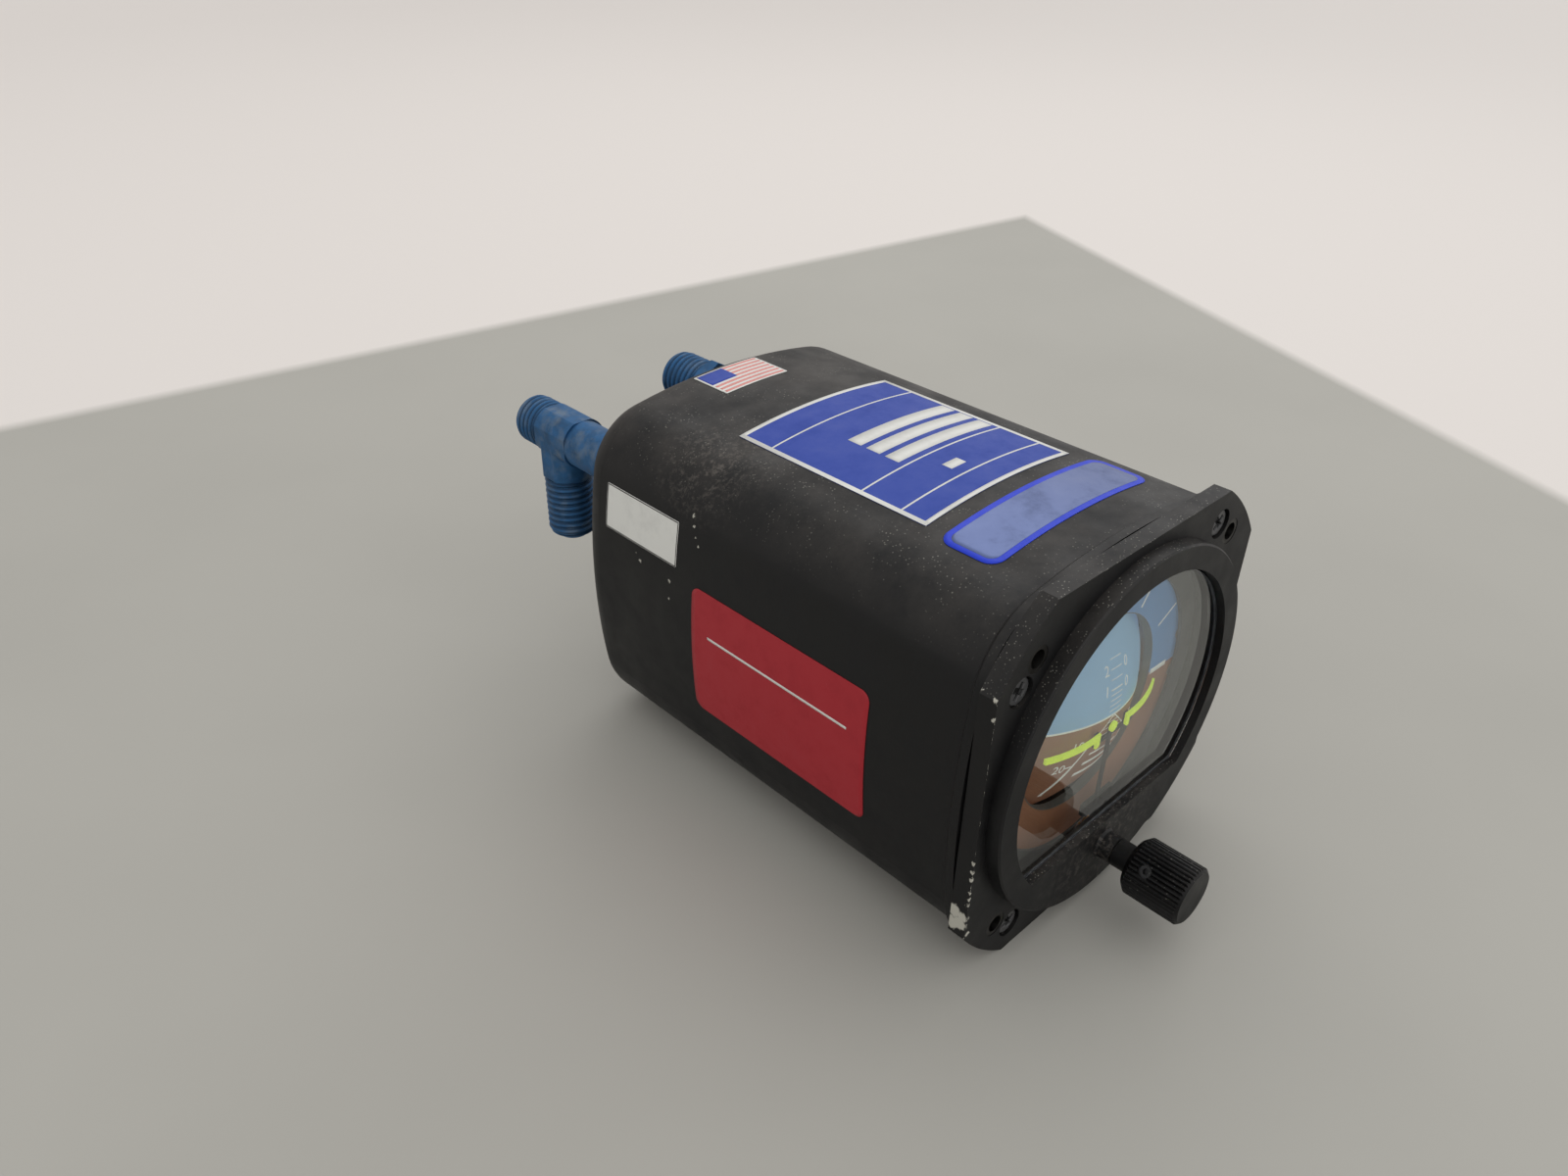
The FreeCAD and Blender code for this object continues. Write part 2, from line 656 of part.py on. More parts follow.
def tee_fitting():
    """Forged tee: round limbs with flats for the spanner, and two flare ends."""
    middle = TEE + Y * TEE_Y
    down = V(0, 0, -1)
    limbs = [cyl(FORGE_R, TEE_Y - FORGE_NECK, TEE_Y + FORGE_RUN, at=TEE)]
    limbs.append(cyl(FORGE_R, 0, FORGE_BRANCH, down, middle))
    flat = FORGE_FLAT
    forged = fuse(limbs).common(box(TEE_X - flat, TEE_X + flat, CASE_Y1, TEE_Y + FORGE_RUN,
                                    TEE_Z - FORGE_BRANCH, TEE_Z + flat))
    shapes = [forged, cyl(PIPE_R, CASE_Y1 - PIPE_L, TEE_Y, at=TEE)]
    shapes.append(cyl(NECK_R, CASE_Y1 + PILOT_FIT, TEE_Y, at=TEE))
    shapes.append(flare_end(TEE_Y + FORGE_RUN - LAP, TEE_Y + TEE_RUN, Y, TEE))
    shapes.append(flare_end(FORGE_BRANCH - LAP, TEE_BRANCH, down, middle))
    cuts = [cyl(BORE_R, CASE_Y1 - PIPE_L - OVER, TEE_Y + TEE_RUN + OVER, at=TEE)]
    cuts.append(cyl(BORE_R, 0, TEE_BRANCH + OVER, down, middle))
    return cut_all(fuse(shapes), cuts)


def inlet_fitting():
    r = HEX_AF / 2 / math.cos(math.pi / 6)
    points = [INLET + Y * CASE_Y1 + polar(r, 60 * i + 30) for i in range(6)]
    hexagon = polygon(points, V(0, HEX_T, 0))
    bevel = cone(r + HEX_T, HEX_AF / 2, CASE_Y1 - HEX_BEVEL, HEX_END, at=INLET)
    pipe = cyl(PIPE_R, CASE_Y1 - PIPE_L, CASE_Y1 + LAP, at=INLET)
    body = fuse([hexagon.common(bevel), pipe, flare_end(HEX_END - LAP, INLET_Y1, Y, INLET)])
    return body.cut(cyl(BORE_R, CASE_Y1 - PIPE_L - OVER, INLET_Y1 + OVER, at=INLET))


def inlet_filter():
    """Mesh disc held between the duct's flange and the fitting."""
    y0 = CASE_Y1 - PIPE_L - OVER + DUCT_FLANGE
    return cyl(PIPE_R - FIT, y0, y0 + FILTER_T, at=INLET)


# ---- knob and miniature aircraft ------------------------------------------------------
def knob_bushing():
    return tube(BUSH_R, SHAFT_R + RUN, BOSS_END + BUSH_GAP, FLANGE_T, at=KNOB)


def clip_groove():
    y0 = GEAR_Y1 + CLIP_GAP
    return tube(SHAFT_R + CLIP_OUT, SHAFT_R - CLIP_GROOVE, y0, y0 + CLIP_T, at=KNOB)


def knob_shaft():
    return cyl(SHAFT_R, KNOB_Y0 + KNOB_CAP, GEAR_Y1 + CLIP_OUT, at=KNOB).cut(clip_groove())


def shaft_clip():
    low = KNOB_Z - SHAFT_R - CLIP_OUT - OVER
    return clip_groove().cut(box(-CLIP_HALF, CLIP_HALF, GEAR_Y1, GEAR_Y1 + OVER, low, KNOB_Z))


def knob():
    """Fluted grip with a plain neck; the flutes run the whole length."""
    pitch = 360.0 / FLUTES
    points = []
    for i in range(FLUTES):
        for share, r in ((0.0, KNOB_R), (LAND, KNOB_R), (ROOT_AT, KNOB_ROOT)):
            points.append(KNOB + Y * KNOB_Y0 + polar(r, (i + share) * pitch))
    grip = polygon(points, V(0, KNOB_Y1 - KNOB_Y0, 0))
    front, rear = KNOB_Y0 + FRONT_CHAMFER, KNOB_Y1 - REAR_CHAMFER
    limit = fuse([cone(KNOB_R - FRONT_CHAMFER, KNOB_R, KNOB_Y0, front, at=KNOB),
                  cyl(KNOB_R, front, rear, at=KNOB),
                  cone(KNOB_R, KNOB_R - REAR_CHAMFER, rear, KNOB_Y1, at=KNOB)])
    body = fuse([grip.common(limit), cyl(BOSS_OUT_R, KNOB_Y1 - OVER, NECK_Y1, at=KNOB)])
    body = body.cut(cyl(SHAFT_R, KNOB_Y0 + KNOB_CAP, NECK_Y1 + OVER, at=KNOB))
    return body.cut(cyl(SET_R, SHAFT_R - OVER / 2, KNOB_R + OVER, polar(1, SET_ANGLE), KNOB + Y * SET_Y))


def knob_set_screw():
    way, at = polar(1, SET_ANGLE), KNOB + Y * SET_Y
    top = KNOB_R - SET_SINK
    across = way.cross(Y)
    points = [at + way * (top - SOCKET_DEEP) + polar(SOCKET_R, 60 * i, Y, across) for i in range(6)]
    return cyl(SET_R, SHAFT_R, top, way, at).cut(polygon(points, way * (SOCKET_DEEP + OVER)))


def pinion():
    """Twelve straight-flanked teeth on the knob's shaft."""
    tip, root = MODULE * (PINION_N / 2 + ADDENDUM), MODULE * (PINION_N / 2 - DEDENDUM)
    pitch = 360.0 / PINION_N
    half = pitch / 4 - math.degrees(BACKLASH / 2 / (MODULE * PINION_N))
    flank = ((root, -LAND * pitch), (tip, -half / 2), (tip, half / 2), (root, LAND * pitch))
    points = []
    for i in range(PINION_N):
        for r, a in flank:
            points.append(KNOB + Y * GEAR_Y0 + polar(r, i * pitch + a))
    return polygon(points, V(0, GEAR_T, 0)).cut(cyl(SHAFT_R, 0, GEAR_Y1 + OVER, at=KNOB))


def rack_teeth(z0, z1, back):
    """Straight teeth between two heights, half a pitch off the knob's axis."""
    step = math.pi * MODULE
    half = step / 4 - BACKLASH / 2
    lean = MODULE * math.tan(math.radians(PRESSURE))
    tip = PITCH_X - MODULE * ADDENDUM
    teeth = []
    count = int((z1 - z0) / step)
    for i in range(-count, count):
        z = KNOB_Z + (i + 0.5) * step
        if z0 < z - step / 2 and z + step / 2 < z1:
            points = [V(tip, GEAR_Y0, z - half + lean), V(back, GEAR_Y0, z - half - lean),
                      V(back, GEAR_Y0, z + half + lean), V(tip, GEAR_Y0, z + half - lean)]
            teeth.append(polygon(points, V(0, GEAR_T, 0)))
    return teeth


def symbol_slide():
    """Rack that the knob moves up and down, with its foot for the bracket."""
    z0, z1 = PINS[0] - SLIDE_LOW, PINS[1] + SLIDE_HIGH
    x0, x1 = PITCH_X + MODULE * SLIDE_BACK, PIN_X + SLIDE_EDGE
    shapes = [box(x0, x1, GEAR_Y0, GEAR_Y1, z0, z1)] + rack_teeth(z0, z1, x0 + LAP)
    shapes.append(box(-FOOT_HALF, x1, GEAR_Y0, GEAR_Y1, z1 - LAP, FOOT_Z + FOOT_H))
    shapes.append(box(-FOOT_HALF, FOOT_HALF, BRACKET_Y1, GEAR_Y1, FOOT_Z, FOOT_Z + FOOT_H))
    reach = SLIDE_TRAVEL + TRAVEL_SPARE
    low, high = PINS[0] - reach, PINS[1] + reach
    r, start, end = PIN_R + RUN, GEAR_Y0 - OVER, GEAR_Y1 + OVER
    slot = fuse([box(PIN_X - r, PIN_X + r, start, end, low, high),
                 cyl(r, start, end, at=V(PIN_X, 0, low)), cyl(r, start, end, at=V(PIN_X, 0, high))])
    return fuse(shapes).cut(slot)


def slide_guide_pins():
    out = []
    for z in PINS:
        at = V(PIN_X, 0, z)
        pin = cyl(PIN_R, FLANGE_T - PIN_DEEP, GEAR_Y1 + PIN_GAP + LAP, at=at)
        collar = cyl(PIN_R + PIN_COLLAR, FLANGE_T, GEAR_Y0 - PIN_GAP, at=at)
        head = cyl(PIN_R + PIN_HEAD, GEAR_Y1 + PIN_GAP, GEAR_Y1 + PIN_GAP + PIN_HEAD_T, at=at)
        out.append(fuse([pin, collar, head]))
    return Part.makeCompound(out)


def symbol_bracket():
    """Thin black sheet that carries the wings and the dot from below."""
    y0, y1 = BRACKET_Y0, BRACKET_Y1
    bar_top = BAR_H - TAIL_DROP
    span = WING_ROOT + ROOT_HALF
    shapes = [box(-FOOT_HALF, FOOT_HALF, y0, y1, FOOT_Z, FOOT_Z + FOOT_H)]
    shapes.append(box(-STEM_HALF, STEM_HALF, y0, y1, FOOT_Z, STEM_HALF))
    shapes.append(box(-span, span, y0, y1, bar_top - BAR_H, bar_top))
    for s in SIDES:
        shapes.append(box(s * (WING_ROOT - ROOT_HALF), s * span, y0, y1, -TAIL_DROP, WING_H / 2))
    return fuse(shapes)


def bent_wing(s):
    """One wing bar with its turned-down root, flat at the root and curved back outside."""
    h, y0 = WING_H / 2, SYMBOL_Y0
    inner, outer = WING_ROOT - ROOT_HALF, WING_ROOT + ROOT_HALF
    outline = [(WING_TIP, h), (inner, h), (inner, TAIL_TURN - TAIL_DROP), (inner + TAIL_TURN, -TAIL_DROP),
               (outer, -TAIL_DROP), (outer, -h), (WING_TIP, -h)]
    front = polygon([V(s * x, y0 - OVER, z) for x, z in outline], V(0, BEND_R, 0))
    flat = box(s * inner, s * BEND_X, y0, y0 + SYMBOL_T, -TAIL_DROP, h)
    curl = tube(BEND_R, BEND_R - SYMBOL_T, -TAIL_DROP, h, Z, V(s * BEND_X, y0 + BEND_R, 0))
    curl = curl.common(box(s * BEND_X, s * (WING_TIP + OVER), y0 - OVER, y0 + BEND_R / 2, -TAIL_DROP, h))
    return fuse([flat, curl]).common(front)


def aircraft_symbol():
    return Part.makeCompound([bent_wing(-1), bent_wing(1), cyl(DOT_R, SYMBOL_Y0, BRACKET_Y0)])


# ---- roll gimbal ---------------------------------------------------------------------
def dial_screw(r, head_r, start, end, at):
    """Countersunk screw, or the hole for one."""
    neck = start + RING_HEAD_T
    return fuse([cone(head_r, r, start, neck, at=at), cyl(r, neck - LAP, end, at=at)])


def roll_ring():
    face = tube(DIAL_R, DIAL_IN, DIAL_Y0, GIMBAL_Y0)
    body = fuse([face, tube(DIAL_IN + LIP_WALL, DIAL_IN, DIAL_Y0, DIAL_Y0 + LIP_L)])
    r, head = RING_SCREW_R + LAP, RING_HEAD_R + LAP
    return cut_all(body, [dial_screw(r, head, DIAL_Y0, GIMBAL_Y0 + OVER, V(x, 0, z)) for x, z in RING_SCREWS])


def ring_screws():
    end = GIMBAL_Y0 + RING_SCREW_L
    return Part.makeCompound([dial_screw(RING_SCREW_R, RING_HEAD_R, DIAL_Y0, end, V(x, 0, z))
                              for x, z in RING_SCREWS])


def roll_gimbal():
    """Yoke: rear bar with its hub and two arms that reach the dial ring."""
    shapes = [box(-ARM_X1, ARM_X1, BAR_Y0, BAR_Y1, -ARM_HZ, ARM_HZ), cyl(HUB_R, BAR_Y1 - OVER, HUB_END)]
    for s in SIDES:
        shapes.append(box(s * ARM_X0, s * ARM_X1, GIMBAL_Y0, BAR_Y1, -ARM_HZ, ARM_HZ))
        a, b = s * (ARM_X0 + LAP), s * (ARM_X0 - BRACE)
        points = [V(x, y, -BRACE_HZ) for x, y in ((a, BAR_Y0 - BRACE), (a, BAR_Y0 + LAP), (b, BAR_Y0 + LAP))]
        shapes.append(polygon(points, V(0, 0, 2 * BRACE_HZ)))
        shapes.append(cyl(ARM_EYE, ARM_X0, ARM_X1, X * s, PIVOT))
    body = fuse(shapes).common(cyl(SWEEP_R, 0, HUB_END + OVER))
    inside, outside = ARM_X0 - OVER, ARM_X1 + OVER
    slot, thin = ARM_HZ / 2, ARM_SLOT
    cuts = [cyl(TRUNNION_R, BAR_Y0 - OVER, HUB_END + OVER)]
    for s in SIDES:
        x0, x1 = s * inside, s * outside
        cuts.append(box(x0, x1, PITCH_Y + ARM_EYE + slot, BAR_Y0 - 2 * thin, -slot, slot))
        cuts.append(cyl(PIVOT_OUT, inside, outside, X * s, PIVOT))
        cuts.append(box(s * (HUB_R + thin), s * (ARM_X0 - HUB_R), BAR_Y0 - OVER, BAR_Y1 + OVER, -slot, slot))
    cuts.append(box(inside, outside, GIMBAL_Y0 + 2 * thin, PITCH_Y - ARM_EYE - thin, -thin, thin))
    cuts.append(cyl(STOP_PIN_R, inside, outside, -X, V(0, STOP_Y, 0)))
    end = GIMBAL_Y0 + RING_SCREW_L + LAP
    cuts += [cyl(RING_SCREW_R, GIMBAL_Y0 - OVER, end, at=V(x, 0, z)) for x, z in RING_SCREWS]
    return cut_all(body, cuts)


def pitch_stop_pin():
    return cyl(STOP_PIN_R, DRUM_HX - DISC_T - PIVOT_STEP, ARM_X1 - PIVOT_STEP, -X, V(0, STOP_Y, 0))


def pitch_bearing(side):
    return tube(PIVOT_OUT, PIVOT_R + RUN, ARM_X0, ARM_X1, X * side, PIVOT)


def roll_trunnion():
    """Hollow rear pivot; air enters it through cross holes between the bearings."""
    start = BAR_Y0 - PIVOT_STEP
    body = fuse([cyl(TRUNNION_R, start, TRUNNION_END), cyl(TRUNNION_R + TRUNNION_FLANGE, start, BAR_Y0)])
    cuts = [cyl(TRUNNION_BORE, start - OVER, BALL_Y[1])]
    cuts += [cyl(PORT_R, -TRUNNION_R - OVER, TRUNNION_R + OVER, way, V(0, DUCT_Y, 0)) for way in (X, Z)]
    return cut_all(body, cuts)


def trunnion_nut():
    end = TRUNNION_END - NUT_STEP
    body = tube(NUT_R, TRUNNION_R, BALL_Y[1] + BALL_W + NUT_GAP, end)
    slot = box(-NUT_SLOT, NUT_SLOT, end - NUT_DEEP / 2, end + OVER, TRUNNION_R + NUT_STEP, NUT_R + OVER)
    return cut_all(body, around(slot, 3))


def roll_bearing(y0):
    return tube(BALL_OUT, TRUNNION_R + RUN, y0, y0 + BALL_W)


def bearing_spacer():
    body = tube(BALL_OUT, BALL_OUT - CAGE_WALL, BALL_Y[0] + BALL_W, BALL_Y[1])
    return body.cut(cyl(DUCT_R - DUCT_WALL, 0, BALL_OUT + OVER, Z, V(INLET_X, DUCT_Y, 0)))


# ---- pitch assembly --------------------------------------------------------------------
def horizon_drum():
    """Barrel of spherical section round the rotor housing, with two side walls."""
    inner_x = DRUM_HX - DISC_T
    ball = Part.makeSphere(DRUM_R, PIVOT).cut(Part.makeSphere(DRUM_R - DRUM_T, PIVOT))
    ball = ball.common(cyl(2 * DRUM_R, -DRUM_HX, DRUM_HX, X, PIVOT))
    disc_r = math.sqrt((DRUM_R - DRUM_T / 2) ** 2 - DRUM_HX ** 2)
    body = fuse([ball] + [cyl(disc_r, inner_x, DRUM_HX, X * s, PIVOT) for s in SIDES])
    far = 3 * DRUM_R
    ray = polar(far, DRUM_ARC, -Y, Z)
    back = [V(0, 0, 0), ray, V(0, far, far), V(0, far, -far), V(0, ray.y, -ray.z)]
    wedge = polygon([PIVOT - X * far + p for p in back], X * (2 * far))
    wedge = cut_all(wedge, [cyl(DRUM_HUB, inner_x - OVER, DRUM_HX + OVER, X * s, PIVOT) for s in SIDES])
    cuts = [wedge, stop_slot(inner_x)]
    for s in SIDES:
        ways = [(SHOULDER_R + LAP, PIVOT)] + [(STUD_FIT + SIDE_SCREW_R, at) for at in DRUM_SCREWS]
        cuts += [cyl(r, inner_x - OVER, DRUM_HX + OVER, X * s, at) for r, at in ways]
    return cut_all(body, cuts)


def stop_slot(inner_x):
    """Curved slot in the left wall that lets the drum pitch as far as its stops."""
    reach = PITCH_LIMIT + math.degrees(STOP_PIN_R / STOP_R) + STOP_SLOT
    w = STOP_PIN_R + STOP_SLOT
    x0, x1 = -DRUM_HX - OVER, OVER - inner_x
    points = [V(x, STOP_Y + y, 0) for x, y in ((x0, -w), (x1, -w), (x1, w), (x0, w))]
    face = Part.Face(Part.makePolygon(points + [points[0]]))
    face.rotate(PIVOT, X, -reach)
    return face.revolve(PIVOT, X, 2 * reach)


DRUM_SCREWS = [PIVOT + polar(SIDE_SCREW_AT, a, Y, Z) for a in (90, 210, 330)]
LUGS = [PIVOT + polar(CUP_R + LUG_OUT, a, X, Y) for a in (45, 135, 225, 315)]


def drum_screws():
    out = []
    for s in SIDES:
        for at in DRUM_SCREWS:
            out.append(fuse([cyl(SIDE_SCREW_R, DRUM_HX - DISC_T - SIDE_SCREW_L, DRUM_HX + LAP, X * s, at),
                             cyl(SIDE_HEAD_R, DRUM_HX, DRUM_HX + SIDE_SCREW_R, X * s, at)]))
    return Part.makeCompound(out)


def lugs(z0, z1, r):
    return [cyl(r, z0, z1, Z, at) for at in LUGS]


def rotor_housing():
    """Lower half of the housing with both pivot bosses and the exhaust ports."""
    pad_end = PITCH_Y + CUP_R + PAD_T
    floor = CUP_FLOOR - CUP_HZ
    shapes = [cyl(CUP_R, -CUP_HZ, SPLIT_Z, Z, PIVOT)] + lugs(-CUP_HZ, SPLIT_Z, LUG_R)
    shapes += [cyl(CUP_HUB, CUP_R - SIDE_SCREW_L, DRUM_HX - DISC_T, X * s, PIVOT) for s in SIDES]
    shapes.append(box(-PAD_HX, PAD_HX, pad_end - SIDE_SCREW_L, pad_end, -WEIGHT_HZ, WEIGHT_HZ))
    body = fuse(shapes).cut(cyl(CUP_R - CUP_WALL, floor, SPLIT_Z + OVER, Z, PIVOT))
    body = fuse([body, cyl(BEAR_R + BEAR_WALL, floor - OVER, floor + BEAR_H, Z, PIVOT)])
    cuts = [cyl(BEAR_R, floor, SPLIT_Z, Z, PIVOT)] + lugs(floor + OVER, SPLIT_Z + OVER, LUG_SCREW)
    for s in SIDES:
        cuts.append(cyl(SHOULDER_R, CUP_R - PIVOT_STEP, DRUM_HX, X * s, PIVOT))
        start = DRUM_HX - DISC_T - SIDE_SCREW_L - PIVOT_STEP
        cuts += [cyl(SIDE_SCREW_R, start, DRUM_HX, X * s, at) for at in DRUM_SCREWS]
    cuts.append(cyl(NOZZLE_R, CUP_R - SIDE_SCREW_L, CUP_R, -X, PIVOT))
    vents = [PIVOT + polar(VENT_AT, a, X, Y) for a in (45, 135, 225, 315)]
    cuts += [cyl(VENT_R, -CUP_HZ - OVER, floor + OVER, Z, at) for at in vents]
    cuts += [cyl(STUD_R, CUP_R - BEAR_STEP, CUP_R + PAD_T + OVER, Y, PIVOT + X * s * STUD_X) for s in SIDES]
    return cut_all(body, cuts)


def housing_cover():
    roof = CUP_HZ - CUP_FLOOR
    body = fuse([cyl(CUP_R, SPLIT_Z, CUP_HZ, Z, PIVOT)] + lugs(SPLIT_Z, CUP_HZ, LUG_R))
    body = body.cut(cyl(CUP_R - CUP_WALL, SPLIT_Z - OVER, roof, Z, PIVOT))
    body = fuse([body, cyl(BEAR_R + BEAR_WALL, roof - BEAR_H, roof + OVER, Z, PIVOT)])
    cuts = [cyl(BEAR_R, 0, roof, Z, PIVOT)] + lugs(SPLIT_Z - OVER, CUP_HZ + OVER, LUG_SCREW + LAP)
    return cut_all(body, cuts)


def housing_screws():
    out = []
    for at in LUGS:
        out.append(fuse([cyl(LUG_SCREW, CUP_FLOOR - CUP_HZ + OVER, CUP_HZ, Z, at),
                         cyl(LUG_HEAD, CUP_HZ, CUP_HZ + LUG_HEAD_T, Z, at)]))
    return Part.makeCompound(out)


def pitch_trunnion(side):
    """Stepped pivot pin; the left one is hollow and feeds the nozzle."""
    shoulder = ARM_X0 - PIVOT_STEP
    body = fuse([cyl(SHOULDER_R, CUP_R - PIVOT_STEP, shoulder, X * side, PIVOT),
                 cyl(PIVOT_R, shoulder - LAP, ARM_X1 - END_GAP, X * side, PIVOT)])
    return body.cut(cyl(AIR_R, CUP_R - OVER, ARM_X1 + OVER, X * side, PIVOT)) if side < 0 else body


def air_nozzle():
    body = cyl(NOZZLE_R, CUP_R - CUP_WALL - OVER, CUP_R - PIVOT_STEP, -X, PIVOT)
    jet = cyl(JET_R, 0, CUP_WALL * 4, V(1, JET_LEAN, 0).normalize(), PIVOT + V(-CUP_R, -JET_OFF, 0))
    return body.cut(jet)


def rotor_bearing(side):
    return tube(BEAR_R, PIVOT_R + RUN, CUP_HZ - CUP_FLOOR - BEAR_H, CUP_HZ - CUP_FLOOR, Z * side, PIVOT)


def balance_weight():
    """Brass bar behind the housing that balances the drum."""
    y0 = PITCH_Y + CUP_R + PAD_T
    body = box(-WEIGHT_HX, WEIGHT_HX, y0, y0 + WEIGHT_T, -WEIGHT_HZ, WEIGHT_HZ)
    edges = [e for e in body.Edges if e.BoundBox.YLength > WEIGHT_T / 2]
    body = body.makeFillet(WEIGHT_ROUND, edges)
    return cut_all(body, [cyl(STUD_R + STUD_FIT, 0, CASE_Y1, Y, X * s * STUD_X) for s in SIDES])


def weight_studs():
    start = PITCH_Y + CUP_R - BEAR_STEP
    top = PITCH_Y + CUP_R + PAD_T + WEIGHT_T
    out = []
    for s in SIDES:
        at = X * s * STUD_X
        head = cyl(STUD_HEAD, top, top + STUD_HEAD_T, at=at)
        out.append(fuse([head, cyl(STUD_R, start, top + LAP, at=at)]))
    return Part.makeCompound(out)


# ---- rotor ---------------------------------------------------------------------------
def rotor():
    """Heavy-rimmed wheel with scoops in the rim that the air jet drives."""
    body = cyl(ROTOR_R, -ROTOR_HZ, ROTOR_HZ, Z, PIVOT)
    body = body.makeChamfer(ROTOR_CHAMFER, [e for e in body.Edges if e.BoundBox.ZLength < 1e-6])
    cuts = [tube(RIM_IN, HUB_OUT, WEB_HZ, ROTOR_HZ + OVER, Z * s, PIVOT) for s in SIDES]
    scoop = cyl(BUCKET_R, -BUCKET_HZ, BUCKET_HZ, Z, PIVOT + X * (ROTOR_R + BEAR_STEP))
    cuts += around(scoop, BUCKETS, Z, PIVOT)
    hole = cyl(WEB_HOLE, -ROTOR_HZ, ROTOR_HZ, Z, PIVOT + X * WEB_HOLE_AT)
    cuts += around(hole, WEB_HOLES, Z, PIVOT)
    cuts.append(cyl(PIVOT_R, -CUP_HZ, CUP_HZ, Z, PIVOT))
    return cut_all(body, cuts)


def rotor_shaft():
    end = CUP_HZ - CUP_FLOOR - END_GAP
    collar = CUP_HZ - CUP_FLOOR - BEAR_H - END_GAP
    shapes = [cyl(PIVOT_R, -end, end, Z, PIVOT)]
    shapes += [cyl(PIVOT_R + COLLAR, ROTOR_HZ, collar, Z * s, PIVOT) for s in SIDES]
    return fuse(shapes)


# ---- pendulous vanes --------------------------------------------------------------------
def vane_block():
    """Exhaust box under the housing; each face has two narrow ports."""
    h, end = BLOCK_H, -CUP_HZ - BLOCK_DEEP
    body = box(-h, h, PITCH_Y - h, PITCH_Y + h, end, -CUP_HZ)
    body = body.makeChamfer(BLOCK_CHAMFER, [e for e in body.Edges if e.BoundBox.ZLength > h / 2])
    i, far = h - BLOCK_WALL, h + OVER
    cuts = [box(-i, i, PITCH_Y - i, PITCH_Y + i, end + BLOCK_FLOOR, OVER - CUP_HZ)]
    cuts.append(cyl(VANE_R + RUN, -far, far, X, PIVOT - Z * CROSS_DROP))
    cuts.append(cyl(VANE_R + RUN, -far, far, Y, PIVOT - Z * FORE_DROP))
    for s in SIDES:
        a, b = s * SLOT_X[0], s * SLOT_X[1]
        cuts.append(box(-far, far, PITCH_Y + a, PITCH_Y + b, -CROSS_SLOT[0], -CROSS_SLOT[1]))
        cuts.append(box(a, b, PITCH_Y - far, PITCH_Y + far, -FORE_SLOT[0], -FORE_SLOT[1]))
    return cut_all(body, cuts)


def vane_pair(axis, drop):
    """Two hanging plates fixed to the ends of one cross shaft."""
    at = PIVOT - Z * drop
    reach = BLOCK_H + VANE_GAP
    end = reach + VANE_T + VANE_END
    shapes = [cyl(VANE_R, -end, end, axis, at)]
    across = Y if axis == X else X
    outline = [(-VANE_TOP, VANE_TOP), (VANE_TOP, VANE_TOP), (VANE_HW, -VANE_L), (-VANE_HW, -VANE_L)]
    for s in SIDES:
        points = [at + axis * (s * reach) + across * u + Z * w for u, w in outline]
        shapes.append(polygon(points, axis * (s * VANE_T)))
    return fuse(shapes)


PLAIN = (
    bezel, panel_inserts, case_screws, case_gasket, case_shell, window_gasket, window_glass,
    glass_retainer, dial_mask, mask_snap_ring, roll_index, air_duct, rear_cap, rear_cap_screws,
    tee_fitting, inlet_fitting, inlet_filter, knob_bushing, knob_shaft, shaft_clip, knob,
    knob_set_screw, pinion, symbol_slide, slide_guide_pins, symbol_bracket, aircraft_symbol,
    roll_ring, ring_screws, roll_gimbal, pitch_stop_pin, roll_trunnion, trunnion_nut,
    bearing_spacer, horizon_drum, drum_screws, rotor_housing, housing_cover, housing_screws,
    air_nozzle, balance_weight, weight_studs, rotor, rotor_shaft, vane_block)

nodes = {make.__name__: make() for make in PLAIN}
for place, side in (("left", -1), ("right", 1)):
    nodes["pitch_bearing_" + place] = pitch_bearing(side)
    nodes["pitch_trunnion_" + place] = pitch_trunnion(side)
nodes["roll_bearing_front"] = roll_bearing(BALL_Y[0])
nodes["roll_bearing_rear"] = roll_bearing(BALL_Y[1])
nodes["rotor_bearing_lower"] = rotor_bearing(-1)
nodes["rotor_bearing_upper"] = rotor_bearing(1)
nodes["vane_pair_cross"] = vane_pair(X, CROSS_DROP)
nodes["vane_pair_fore"] = vane_pair(Y, FORE_DROP)

for node, shape in nodes.items():
    shape.exportStep(os.path.join("parts", node + ".step"))
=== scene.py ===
"""Attitude indicator, 3 1/8 inch: finishes, markings, stickers, threads and studio round the packed model."""

